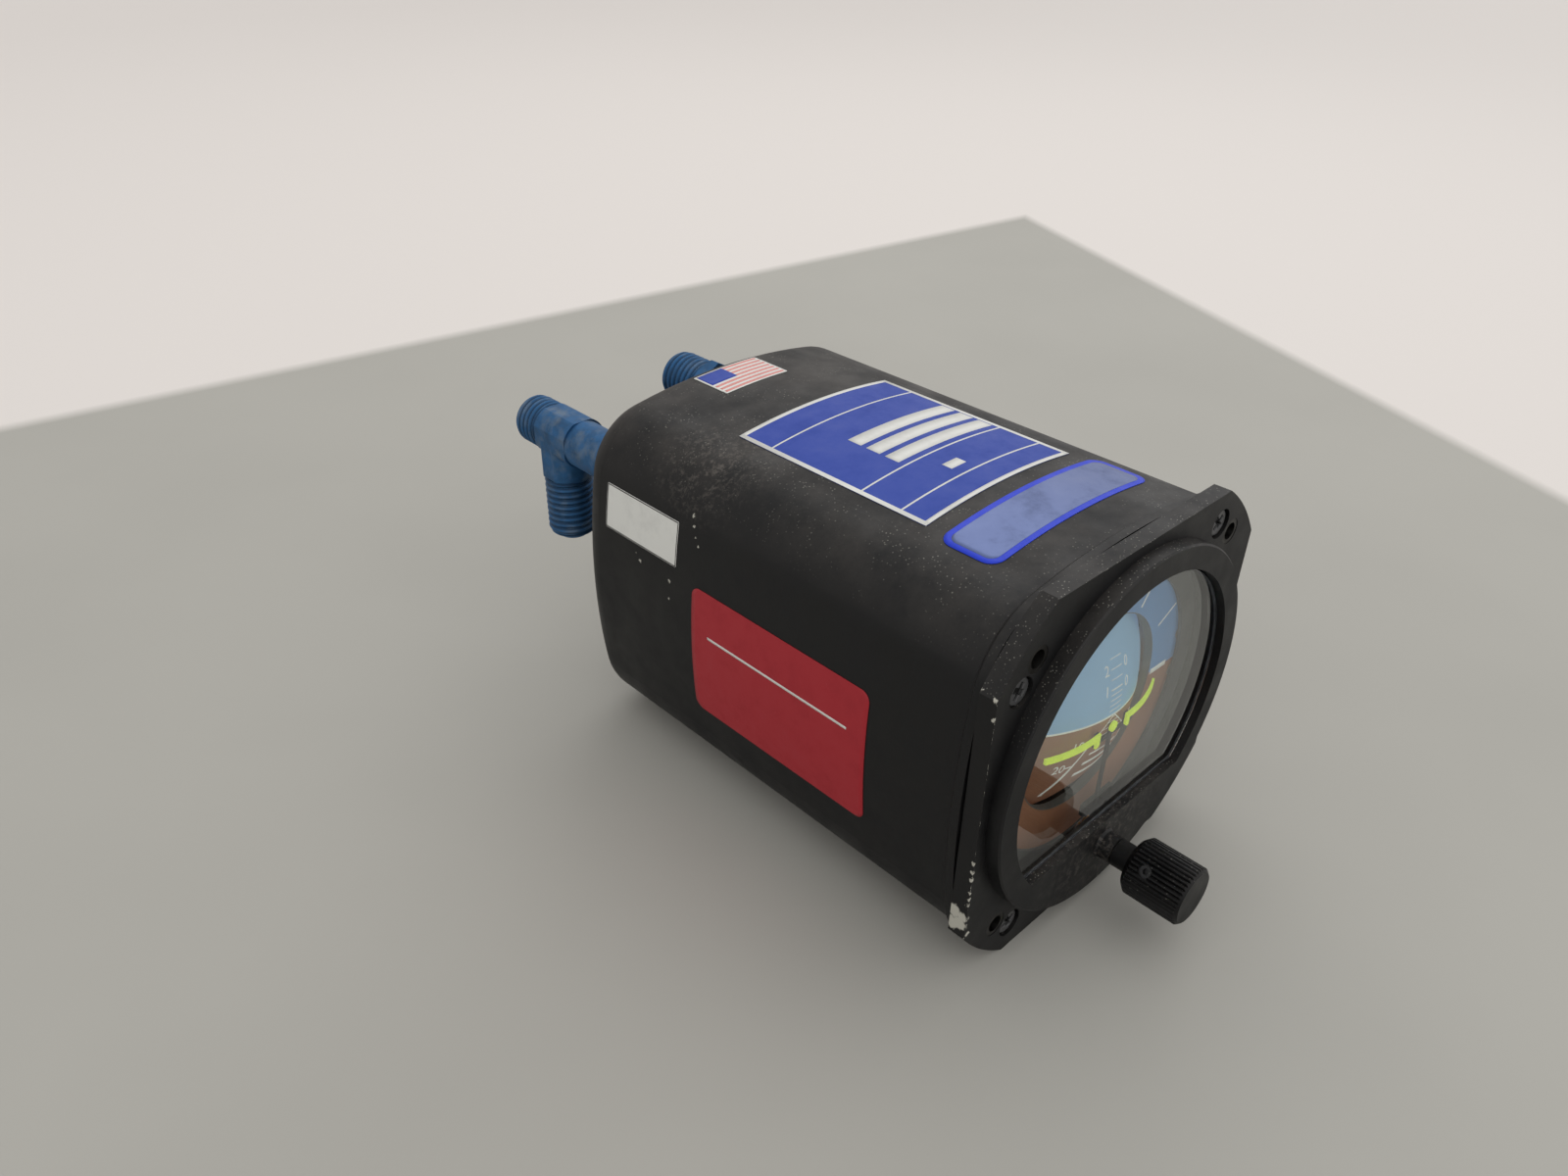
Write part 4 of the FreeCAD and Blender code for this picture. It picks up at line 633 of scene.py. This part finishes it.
def chipped_enamel(name, base):
    """The same enamel on the flange, rubbed through to pale metal here and there along its square edges,
    most at the left and low down."""
    material = baked_enamel(name, base, 0.4, worn=FLANGE_CHIPS, grit=0.62, patch=SILL_DUST)
    tree, shader, coords, painted = reopen(material)
    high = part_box("bezel")[1]
    along = add(tree, "SeparateXYZ", (coords,)).node.outputs
    size = {a: add(tree, "Math", (along[a],), operation="ABSOLUTE") for a in "XYZ"}
    gap_x = add(tree, "Math", (high.x, size["X"]), operation="SUBTRACT")
    gap_z = add(tree, "Math", (high.z, size["Z"]), operation="SUBTRACT")
    side = add(tree, "Math", (gap_x, gap_z), operation="MINIMUM")
    edge = add(tree, "Math", (side, size["Y"]), operation="MAXIMUM")
    reach = clouds(tree, coords, 6, 8.0, 0.8, (0.54, 0.8, 0.0, 0.5 * MM))
    leftwards = add(tree, "MapRange", (along["X"], -38 * MM, 10 * MM, 1.0, 0.3))
    downwards = add(tree, "MapRange", (along["Z"], -30 * MM, 35 * MM, 1.6, 0.7))
    for more in (leftwards, downwards):
        reach = add(tree, "Math", (reach, more), operation="MULTIPLY")
    bare = add(tree, "Math", (edge, reach), operation="LESS_THAN")
    finish = coats(tree, painted, (bare, bpy.context.scene.attitude_case.primer))
    wire(tree, shader, {"Base Color": finish})
    return material


def dyed_aluminium(name, root=()):
    """Sulphuric-anodised aluminium: metal seen through a dyed coat, chalky and rubbed where spanners and
    dirt met it. A root (centre, factors that flatten the axis, radius, crest) darkens a thread's grooves
    towards their roots."""
    case = bpy.context.scene.attitude_case
    material, tree, shader, coords = begin(name, {"Metallic": 0.55})
    cloud, roughness = clouds(tree, coords, 4, 6.0, 0.7, (0.3, 0.6), (0.3, 0.7, 0.45, 0.7))
    chalky = clouds(tree, coords, 5, 6.0, 0.6, (0.5, 0.72, 0.0, 0.6))
    finish = coats(tree, tone(case.blue, 0.5), (cloud, case.blue), (chalky, case.worn_blue))
    # The thread's grooves are darkened towards their roots.
    if root:
        centre, flatten, core, crest = root
        apart = add(tree, "VectorMath", (coords, centre), operation="SUBTRACT")
        flat = add(tree, "VectorMath", (apart, flatten), operation="MULTIPLY")
        far = add(tree, "VectorMath", (flat,), "Value", operation="LENGTH")
        above_root = add(tree, "MapRange", (far, core + 0.05 * crest, core + 0.8 * crest))
        finish = coats(tree, tone(case.blue, 0.28), (above_root, finish))
    wire(tree, shader, {"Base Color": finish, "Roughness": roughness})
    grain_bump(tree, shader, coords, 0.35, 0.04, 0.4)
    return material


def turned_metal(name, code, node, rough=0.3, rings_mm=2.2):
    """Lathe-turned metal: bright, with the tool's rings about its own axis, 2.2 mm apart to show."""
    base = linear(code)
    material, tree, shader, coords = begin(name, {"Metallic": 1.0})
    low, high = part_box(node)
    centred = add(tree, "Mapping", {"Vector": coords, "Location": -(low + high) / 2})
    waves = {"Vector": centred, "Scale": WAVE / (rings_mm * MM), "Distortion": 0.4}
    rings = add(tree, "TexWave", waves, 1, wave_type="RINGS", rings_direction="Y")
    bright = clouds(tree, coords, 6, 4.0, 0.5, (0.35, 0.6))
    wire(tree, shader, {
        "Base Color": coats(tree, tone(base, 0.62), (bright, base)),
        "Roughness": add(tree, "MapRange", (rings, 0.0, 1.0, rough, rough + 0.15)),
        "Normal": add(tree, "Bump", {"Height": rings, "Strength": 0.2, "Distance": 0.01 * MM}),
    })
    return material


def moulded_rubber(name, base):
    """Nitrile strip: no sheen, a slight bloom, a matt skin from the mould."""
    material, tree, shader, coords = begin(name, {"Roughness": 0.85, "IOR": 1.52})
    bloom = clouds(tree, coords, 3, 4.0, 0.5, (0.4, 0.7))
    wire(tree, shader, {"Base Color": coats(tree, base, (bloom, tone(base, 1.6, 0.01)))})
    grain_bump(tree, shader, coords, 0.3, 0.03)
    return material


def float_glass(name):
    """Clear float glass: sharp reflections, a trace of green, faint smears that soften them."""
    clear = {"Transmission Weight": 1.0, "IOR": 1.52, "Base Color": "#f2f7f4"}
    material, tree, shader, coords = begin(name, clear)
    wire(tree, shader, {"Roughness": clouds(tree, coords, 8, 3.0, 0.5, (0.45, 0.8, 0.0, 0.03))})
    return material


def two_tone(name, sky, tilt, lift=0.0, centre=(0, 0, 0), lip=None, reach=0.0, soft=0.02 * MM):
    """Matt screen paint in two colours that meet on the drum's equator, turned as the caged gyro rests,
    with a bare lip inside a reach from the axis. It glows a little, painted light of its own that keeps
    it bright behind the glass."""
    dial = bpy.context.scene.attitude_dial
    ink = {"Roughness": 0.6, "IOR": 1.46, "Emission Strength": dial.glow}
    material, tree, shader, coords = begin(name, ink)
    back = add(tree, "VectorMath", (coords, centre), operation="SUBTRACT")
    banked = add(tree, "Mapping", {"Vector": back, "Rotation": (0.0, -tilt, 0.0)})
    tipped = add(tree, "Mapping", {"Vector": banked, "Rotation": (lift, 0.0, 0.0)})
    above = add(tree, "MapRange", (add(tree, "SeparateXYZ", (tipped,), "Z"), -soft, soft))
    uneven = clouds(tree, coords, 12, 4.0, 0.5, (0.3, 0.7))
    over = coats(tree, sky, (uneven, tone(sky, 0.94)))
    painted = coats(tree, dial.ground, (uneven, tone(dial.ground, 0.85)), (above, over))
    if lip:
        flat = add(tree, "VectorMath", (coords, (1.0, 0.0, 1.0)), operation="MULTIPLY")
        far = add(tree, "VectorMath", (flat,), "Value", operation="LENGTH")
        painted = coats(tree, lip, (add(tree, "MapRange", (far, reach - soft, reach + soft)), painted))
    wire(tree, shader, {"Base Color": painted, "Emission Color": painted})
    grain_bump(tree, shader, coords, 0.25, 0.01, 0.2)
    return material


def screen_ink(name, base, rough=0.55, glow=0.0):
    """Opaque screen ink or fluorescent paint: flat, a little uneven in its film; its glow is painted light of
    its own.
    """
    ink = {"Roughness": rough, "IOR": 1.48, "Emission Color": base, "Emission Strength": glow}
    material, tree, shader, coords = begin(name, ink)
    film = clouds(tree, coords, 2, 4.0, 0.5, (0.35, 0.6))
    wire(tree, shader, {"Base Color": coats(tree, tone(base, 0.85), (film, base))})
    grain_bump(tree, shader, coords, 0.3, 0.01, 0.2)
    return material


def printed_vinyl(name, base, rough=0.38, metal=0.0, soil=0.35):
    """Calendered vinyl sticker: a low plastic gloss, soiled and scuffed in small patches, slightly
    rippled."""
    vinyl = {"Metallic": metal, "IOR": 1.5, "Specular IOR Level": 0.35}
    material, tree, shader, coords = begin(name, vinyl)
    levels = ((0.5, 0.78, 0.0, soil), (0.3, 0.7, rough, rough + 0.2))
    soiled, roughness = clouds(tree, coords, 7, 8.0, 0.7, *levels)
    scuffed = clouds(tree, coords, 1.3, 6.0, 0.8, (0.68, 0.74, 0.0, 0.5))
    finish = coats(tree, base, (soiled, tone(base, 0.55)), (scuffed, tone(base, 0.6, 0.3)))
    wire(tree, shader, {"Base Color": finish, "Roughness": roughness})
    grain_bump(tree, shader, coords, 5.0, 0.05, 0.3)
    return material


def woven_mesh(name, code, wires_mm=3.14):
    """Stainless gauze: bright crossing wires, 3.1 mm apart, coarser than real, over gaps painted near black
    as shade.
    """
    material, tree, shader, coords = begin(name, {"Metallic": 1.0, "Roughness": 0.35})
    scale = WAVE / (wires_mm * MM)
    waves = [add(tree, "TexWave", {"Vector": coords, "Scale": scale}, 1, bands_direction=d) for d in "XZ"]
    wires = add(tree, "Math", waves, operation="MAXIMUM")
    wire(tree, shader, {
        # Painted shade: the gaps between the wires are near black, standing in for the dark inside seen
        # through them.
        "Base Color": coats(tree, "#0b0b0b", (wires, code)),
        "Normal": add(tree, "Bump", {"Height": wires, "Strength": 0.8, "Distance": 0.1 * MM}),
    })
    return material


def painted_sheet(name, near, far, soft=0.004, cloud_mm=1000 / 9, paper_light=0.5):
    """Studio sheets: a matt grey mat under the object with two straight edges, and plain white paper beyond
    them, which shows at half its own brightness whatever the lamps do."""
    material, tree, shader, coords = begin(name, {"Roughness": 0.8, "Emission Color": far})
    off = 0.0
    for across, reach in MAT_EDGES:
        edge = add(tree, "VectorMath", (coords, across), "Value", operation="DOT_PRODUCT")
        past = add(tree, "MapRange", (edge, reach - soft, reach + soft))
        off = add(tree, "Math", (off, past), operation="MAXIMUM")
    uneven = clouds(tree, coords, cloud_mm, 3.0, 0.5, (0.4, 0.7))
    path = add(tree, "LightPath").node.outputs
    seen = path["Is Camera Ray"]
    for ray in ("Is Glossy Ray", "Is Transmission Ray"):
        seen = add(tree, "Math", (seen, path[ray]), operation="MAXIMUM")
    glow = add(tree, "Math", (seen, off), operation="MULTIPLY")
    wire(tree, shader, {
        "Base Color": coats(tree, near, (uneven, tone(near, 0.95)), (off, tone(far, 0.5))),
        "Emission Strength": add(tree, "Math", (glow, paper_light), operation="MULTIPLY"),
    })
    return material


# ---- operators ------------------------------------------------------------------------------


class ATTITUDE_OT_cad_finishes(bpy.types.Operator):
    """Gives every CAD node the finish of its own material slot"""

    bl_idname = "attitude.cad_finishes"
    bl_label = "Finish the CAD nodes"

    def execute(self, context):
        case, dial = context.scene.attitude_case, context.scene.attitude_dial
        black = tuple(case.enamel)
        ring = (dial.ring_sky, dial.ring_tilt, 0.0, (0, 0, 0), dial.lip, dial.opening + 0.1 * MM)
        drum = (dial.sky, dial.paint_tilt, dial.paint_lift, drum_size()[0])
        worn_case = {"worn": CASE_CHIPS, "grit": 0.36, "patch": TOP_DUST}
        made = {
            "bezel_paint": chipped_enamel("stoving_enamel_flange", black),
            "case_paint": baked_enamel("stoving_enamel_case", black, 0.45, **worn_case),
            "cap_paint": baked_enamel("stoving_enamel_cap", black, 0.3),
            "spacer_black": baked_enamel("black_anodised_spacer", linear("#1b1b1c"), 0.0, 0.6),
            # The mask is matt black; its mid grey is painted reflection of the grey haze on the glass in
            # front of it.
            "mask_black": baked_enamel("matt_black_mask", linear("#4a4b4c"), 0.0, 0.7),
            "slide_black": baked_enamel("black_oxide_slide", linear("#18181a"), 0.0, 0.55),
            "black_screw": baked_enamel("black_oxide_screws", linear("#222223"), 0.2, 0.34, gloss=1.5),
            "knob_black": baked_enamel("black_anodised_knob", linear("#070708"), 0.25, 0.42, gloss=0.7),
            # Painted shade: the inserts' zinc is darkened, standing in for the shade inside the mounting
            # holes.
            "insert_steel": turned_metal("worn_zinc_inserts", "#3b3a38", "panel_inserts", 0.4),
            "gasket_rubber": moulded_rubber("nitrile_gasket", case.rubber),
            "window_seal": moulded_rubber("grey_window_seal", case.seal),
            "window_glass": float_glass("float_glass"),
            "index_white": screen_ink("white_index_paint", dial.white),
            # Painted light: the lime aircraft glows by emission.
            "symbol_lime": screen_ink("fluorescent_lime_paint", dial.lime, 0.5, dial.lime_glow),
            "ring_face": two_tone("screened_bank_ring", *ring),
            "drum_face": two_tone("screened_horizon_drum", *drum),
            "blue_anodise": dyed_aluminium("blue_anodised_aluminium"),
            "filter_mesh": woven_mesh("stainless_gauze", "#b9b7b0"),
            "duct_aluminium": turned_metal("drawn_aluminium_tube", "#c4c6c8", "air_duct"),
            "bushing_bronze": turned_metal("sintered_bronze", "#b07f45", "knob_bushing", 0.45),
            "steel": turned_metal("turned_steel", "#b4b4b4", "roll_trunnion", 0.28),
            "brass": turned_metal("machined_brass", "#cfa75a", "balance_weight", 0.28),
            "gimbal_aluminium": turned_metal("cast_aluminium_gimbal", "#bfc1c3", "roll_gimbal", 0.45),
            "bearing_steel": turned_metal("ground_bearing_steel", "#c2c2c4", "roll_bearing_front", 0.18),
            "rotor_brass": turned_metal("balanced_brass_rotor", "#c79d50", "rotor", 0.25),
            "vane_metal": turned_metal("thin_aluminium_vanes", "#c9cacc", "vane_block", 0.35),
        }
        for name, node in frame["nodes"].items():
            slot = node.data.materials[0].name
            if slot not in made:
                raise RuntimeError(f"node {name} has the slot {slot}, which has no finish")
            node.material_slots[0].material = made[slot]
        return {"FINISHED"}


class ATTITUDE_OT_stickers(bpy.types.Operator):
    """Lays the blank stickers and their printed borders on the case; the white sticker's dark edge line is
    partly printed and partly painted shadow
    """

    bl_idname = "attitude.stickers"
    bl_label = "Lay the stickers"

    def execute(self, context):
        s = context.scene.attitude_stickers
        white = printed_vinyl("white_vinyl", s.paper)
        blue = printed_vinyl("blue_printed_vinyl", s.plate_blue)
        # The white sticker's dark edge line: partly a printed outline, partly painted shadow along the
        # sticker's edge.
        border = bars(frame_bars(inset(s.white_place, 0.1 * MM), 0.22 * MM), on_side)

        # Data plate: a frame, three rules, three blank fields and a check box, by shares of its depth and
        # width.
        a0, a1, b0, b1 = s.plate_place
        wide, deep = a1 - a0, b1 - b0
        rule, blank = 0.22 * MM, 0.036 * deep
        prints = frame_bars(s.plate_place, 1.1 * MM)
        for row in (b1 - share * deep for share in (0.175, 0.665, 0.865)):
            prints.append((a0, a1, row - rule, row + rule))
        for row in (b1 - share * deep for share in (0.395, 0.495, 0.595)):
            prints.append((a0 + 0.3 * wide, a1 - 1.4 * MM, row - blank, row + blank))
        prints.append((a0 + 0.42 * wide, a0 + 0.52 * wide, b1 - 0.81 * deep, b1 - 0.76 * deep))

        foil = sticker(inset(s.silver_place, 1.3 * MM), 2.0 * MM, on_top, LIFT + FILM, INK)
        a0, a1, b0, b1 = inset(s.stripe_place, 0.5 * MM)
        step = (b1 - b0) / 13
        stripes = [(a0, a1, b0 + k * step, b0 + (k + 1) * step) for k in range(0, 13, 2)]
        field = [(a0, a0 + 0.42 * (a1 - a0), b0 + 6 * step, b1)]
        made = {
            "red_sticker": (sticker(s.red_place, 2.2 * MM, on_side), printed_vinyl("red_vinyl", s.red)),
            "red_sticker_rule": (bars([s.rule_place], on_side), white),
            "white_sticker": (sticker(s.white_place, 0.3 * MM, on_side), white),
            "white_sticker_border": (border, printed_vinyl("black_ink", linear("#202021"))),
            "data_plate": (sticker(s.plate_place, 0.3 * MM, on_top), blue),
            "data_plate_print": (bars(prints, on_top), white),
            "foil_sticker_border": (
                sticker(s.silver_place, 3.0 * MM, on_top), printed_vinyl("blue_ink_on_foil", s.foil_blue)
            ),
            "foil_sticker": (foil, printed_vinyl("aluminium_foil_vinyl", s.foil, 0.32, 0.8, 0.7)),
            "striped_sticker": (sticker(s.stripe_place, 0.3 * MM, on_top), white),
            "sticker_stripes": (bars(stripes, on_top), printed_vinyl("red_stripe_ink", s.stripe_red)),
            "sticker_field": (bars(field, on_top, LIFT + FILM + INK, m=8), blue),
        }
        for name, (parts, vinyl) in made.items():
            ride_piece(name, parts, vinyl, "case")
        return {"FINISHED"}


class ATTITUDE_OT_window(bpy.types.Operator):
    """Makes the stepped window glass, whose plug stands out of the bezel's opening"""

    bl_idname = "attitude.window"
    bl_label = "Make the window glass"

    def execute(self, context):
        w = context.scene.attitude_window
        low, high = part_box("window_glass")
        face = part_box("window_gasket")[0].y - w.proud
        plug = lens_ring(w.radius, w.sill)
        ground = lens_ring(w.radius - w.chamfer, w.sill + w.chamfer)
        flange = lens_ring(high.x, low.z)
        # Rings from the middle of the front out to the chamfer, over the step and back to the middle behind.
        scale = np.linspace(0, 1, 9)[:, None, None]
        rows = [scale * ground, plug[None], plug[None], flange[None], flange[None], scale[-2::-1] * flange]
        heights = [face] * len(scale) + [face + w.chamfer, low.y, low.y, high.y] + [high.y] * (len(scale) - 1)
        flat = np.concatenate(rows)
        y = np.broadcast_to(np.array(heights)[:, None], flat.shape[:2])
        points = np.stack([flat[..., 0], y, flat[..., 1]], -1)
        glass = frame["nodes"]["window_glass"].material_slots[0].material
        lens = [grid_faces(points, wrap_cols=True)]
        old = ("window_glass",)
        ride_piece("window_lens", lens, glass, "case", smooth=False, replaces=old)
        return {"FINISHED"}


def ladder(degrees):
    """Height on the drum of a pitch in degrees: the scale closes up away from the horizon."""
    return radians(np.interp(degrees, *LADDER))


def vanishing(below):
    """Distance from the middle of the line that runs to the horizon, at a height below it, both in
    degrees."""
    return np.interp(below, *VANISHING)


class ATTITUDE_OT_dial(bpy.types.Operator):
    """Screens the pitch ladder on the drum and the bank marks on the ring"""

    bl_idname = "attitude.dial"
    bl_label = "Mark the dial"

    def execute(self, context):
        d = context.scene.attitude_dial
        # Painted light: the white markings glow a little by emission.
        white = screen_ink("white_screen_ink", d.white, glow=d.mark_glow)
        radius = drum_size()[1]
        thick = d.line / radius / 2

        # Level lines, each with its middle, half length, height and half width in radians: the horizon, the
        # ladder above it, the ground's lines below it and the ticks outside the lines that run to the
        # horizon.
        tick = radians(3.3)
        lines = [(0, radians(46), 0, thick)]
        lines += [(0, tick, ladder(up), thick * (0.7 if up == 10 else 0.4)) for up in LADDER_MARKS]
        lines += [(0, radians(0.75 * vanishing(b) + 0.6), -radians(b), thick / 3) for b in FAR_LINES]
        lines += [(0, radians(0.62 * vanishing(b)), -radians(b), radians(half)) for b, half in NEAR_LINES]
        lines += [
            (side * (radians(vanishing(below)) + tick / 2), tick / 2, -radians(below), radians(0.3))
            for side in (-1, 1)
            for below in GROUND_TICKS.values()
        ]
        marks = [(x - reach, x + reach, up - half, up + half) for x, reach, up, half in lines]
        parts = bars(marks, on_drum, LIFT, n=40)
        below = np.linspace(0, VANISHING_WIDTH[0][-1], 40)
        width = np.interp(below, *VANISHING_WIDTH) * MM / radius
        for side in (-1, 1):
            across = side * np.radians(vanishing(below)) + np.stack([-width, width])
            parts.append(slab(on_drum, across, np.broadcast_to(-np.radians(below), across.shape), LIFT, INK))
        ride_piece("drum_lines", parts, white, "gyro")

        names = [(f, radians(a), ladder(up)) for up in (10, 20) for f, a in zip(str(up), (-5.6, 6.2))]
        names += [
            (text, radians(side * (vanishing(below) + 5.8)), -radians(below))
            for text, below in GROUND_TICKS.items()
            for side in (-1, 1)
        ]
        words = figures(names, d.figure / radius, on_drum)
        ride_piece("drum_figures", words, white, "gyro", smooth=False)

        bank = []
        for turn, near, far, weight in BANK_MARKS:
            ends = np.linspace(near, far, 6) * MM + d.opening
            widths = np.linspace(-0.5, 0.5, 3) * weight * d.mark
            r, across = np.meshgrid(ends, widths)
            bank += [slab(on_ring, side * radians(turn) + across / r, r, LIFT, INK) for side in (-1, 1)]
        # The top mark is a triangle: its half width grows from its tip outwards.
        r, side = np.meshgrid(np.linspace(2, 7.5, 6) * MM + d.opening, np.linspace(-1, 1, 5))
        bank.append(slab(on_ring, side * np.linspace(0.05, 2.2, 6) * MM / r, r, LIFT, INK))
        ride_piece("bank_marks", bank, white, "roll_gimbal")
        return {"FINISHED"}


class ATTITUDE_OT_threads(bpy.types.Operator):
    """Cuts the flare threads on the tee and the inlet, on the ends that the record names"""

    bl_idname = "attitude.threads"
    bl_label = "Cut the threads"

    def execute(self, context):
        t = context.scene.attitude_threads
        ends = {m["name"]: m for m in frame["record"]["mounts"]}
        for name in ("tee_run", "tee_branch", "inlet"):
            end = ends[name + "_end"]
            core = end["dims"]["r_mm"] * MM
            cut = thread(end["pos_m"], end["axis"], end["dims"]["length_mm"] * MM, core, t.crest, t.pitch)
            root = (end["pos_m"], [1 - abs(v) for v in end["axis"]], core, t.crest)
            blue = dyed_aluminium("blue_anodised_" + name + "_thread", root)
            ride_piece(name + "_thread", [cut], blue, "case")
        return {"FINISHED"}


def recessed_head(x, z, front, back, radius, turn, t, around=96, rings=26, soft=0.12 * MM):
    """Screw with a cross recess, carried round its axis. Over the head the depth is D * clip((w / 2 -
    min(|u|, |v|)) / s) * clip((L - max(|u|, |v|)) / s), then a rounded rim, a straight side and a shank."""
    rim, shank = 0.86 * radius, 0.52 * radius
    a = np.linspace(0, 2 * pi, around, endpoint=False)
    r, at = np.meshgrid(np.linspace(0, rim, rings), a, indexing="ij")
    u, v = np.abs(r * np.cos(at - turn)), np.abs(r * np.sin(at - turn))
    slots = np.clip((t.cross / 2 - np.minimum(u, v)) / soft + 0.5, 0, 1)
    slots *= np.clip((t.reach - np.maximum(u, v)) / soft + 0.5, 0, 1)
    end = back - front
    tail = np.array([
        (0.95 * radius, 0.06 * MM), (radius, 0.25 * MM), (radius, t.head),
        (shank, t.head), (shank, end), (0.0, end),
    ])
    r = np.concatenate([r, np.broadcast_to(tail[:, :1], (len(tail), around))])
    sink = np.concatenate([slots * t.depth, np.broadcast_to(tail[:, 1:], (len(tail), around))])
    return grid_faces(np.stack([x + r * np.cos(a), front + sink, z + r * np.sin(a)], -1), wrap_cols=True)


class ATTITUDE_OT_screws(bpy.types.Operator):
    """Puts cross-recessed screws where the CAD has plain ones, their recesses painted near black as shade"""

    bl_idname = "attitude.screws"
    bl_label = "Fit the screws"

    def execute(self, context):
        black = frame["nodes"]["case_screws"].material_slots[0].material.copy()
        black.name = "black_oxide_cross_screws"
        tree, shader, coords, painted = reopen(black)
        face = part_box("case_screws")[0].y
        # Painted shade: below the head's face the recess turns near black, standing in for the shade inside
        # it.
        depth = add(tree, "SeparateXYZ", (coords,), "Y")
        sunk = add(tree, "MapRange", (depth, face + 0.1 * MM, face + 0.5 * MM))
        rubbed = add(tree, "Mix", {FACTOR: 0.35, LOW: "#4a4a4b", HIGH: painted}, MIXED, data_type="RGBA")
        finish = add(tree, "Mix", {FACTOR: sunk, LOW: rubbed, HIGH: "#020202"}, MIXED, data_type="RGBA")
        wire(tree, shader, {"Base Color": finish})
        threads = context.scene.attitude_threads
        screws = enumerate(quadrants("case_screws"))
        parts = [recessed_head(*screw, radians(20 + 37 * k), threads) for k, screw in screws]
        ride_piece("case_screw_set", parts, black, "case", replaces=("case_screws",))
        return {"FINISHED"}


class ATTITUDE_OT_studio(bpy.types.Operator):
    """Sets the floor, the backdrop, the lamps and the camera"""

    bl_idname = "attitude.studio"
    bl_label = "Set the studio"

    def execute(self, context):
        s = context.scene.attitude_studio
        low, high = CAD_BOX
        middle = (low + high) / 2
        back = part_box("case_shell")
        rest = context.scene.attitude_stickers
        # The object stands on its flange's edge and on the case's rear edge, so the floor rises to meet both.
        fall = (back[0].z + rest.case_bead - low.z) / (back[1].y - rest.rear_round)
        x, y = np.meshgrid(np.linspace(*SHEET_SIDES, 40), np.linspace(*SHEET_ENDS, 80))
        z = low.z + np.minimum(y, TILT_END) * fall + np.clip(y - RISE_START, 0, None) ** 2 * RISE
        floor = bpy.data.meshes.new("studio_floor")
        points, quads = grid_faces(np.stack([x, y, z], -1))
        floor.from_pydata(points.tolist(), [], quads[:, ::-1].tolist())
        floor.shade_smooth()
        floor.materials.append(painted_sheet("studio_sheet", s.floor, s.wall))
        sheet = bpy.data.objects.new("studio_floor", floor)
        context.scene.collection.objects.link(sheet)

        world = bpy.data.worlds.new("studio_world")
        world.use_nodes = True
        sky = world.node_tree.nodes["Background"]
        sky.inputs["Color"].default_value = (1.0, 0.995, 0.99, 1.0)
        sky.inputs["Strength"].default_value = s.ambient
        context.scene.world = world

        for name, place in LAMPS.items():
            light = bpy.data.lights.new(name, "AREA")
            light.energy = getattr(s, name)
            light.size = LAMP_SIZE
            lamp = bpy.data.objects.new(name, light)
            lamp.location = middle + Vector(place)
            lamp.rotation_mode = "QUATERNION"
            lamp.rotation_quaternion = (middle - lamp.location).to_track_quat("-Z", "Y")
            context.scene.collection.objects.link(lamp)

        camera = bpy.data.objects.new("camera", bpy.data.cameras.new("camera"))
        camera.data.lens = s.lens
        camera.data.sensor_width = SENSOR_MM
        camera.data.clip_start = NEAR_CLIP
        camera.location = s.place
        camera.rotation_mode = "QUATERNION"
        camera.rotation_quaternion = Vector(s.look).to_track_quat("-Z", "Y") @ Quaternion((0, 0, 1), s.roll)
        context.scene.collection.objects.link(camera)
        context.scene.camera = camera
        context.scene.view_settings.view_transform = "Standard"
        return {"FINISHED"}


class ATTITUDE_PT_panel(bpy.types.Panel):
    """Sizes and colours of the finish, and the steps that make it"""

    bl_label = "Attitude Indicator"
    bl_space_type = "VIEW_3D"
    bl_region_type = "UI"
    bl_category = "Attitude Indicator"

    def draw(self, context):
        for name, group in GROUPS.items():
            box = self.layout.box()
            box.label(text=group.__doc__)
            for prop in group.__annotations__:
                box.prop(getattr(context.scene, name), prop)
        for step in STEPS:
            self.layout.operator(step.bl_idname)


STEPS = (
    ATTITUDE_OT_cad_finishes,
    ATTITUDE_OT_stickers,
    ATTITUDE_OT_window,
    ATTITUDE_OT_dial,
    ATTITUDE_OT_threads,
    ATTITUDE_OT_screws,
    ATTITUDE_OT_studio,
)


def register():
    for group in (*GROUPS.values(), *STEPS, ATTITUDE_PT_panel):
        bpy.utils.register_class(group)
    for name, group in GROUPS.items():
        setattr(bpy.types.Scene, name, bpy.props.PointerProperty(type=group))


def unregister():
    for name in GROUPS:
        delattr(bpy.types.Scene, name)
    for group in reversed((*GROUPS.values(), *STEPS, ATTITUDE_PT_panel)):
        bpy.utils.unregister_class(group)


def main():
    register()
    for step in STEPS:
        space, name = step.bl_idname.split(".")
        getattr(getattr(bpy.ops, space), name)()


if __name__ == "__main__":
    main()
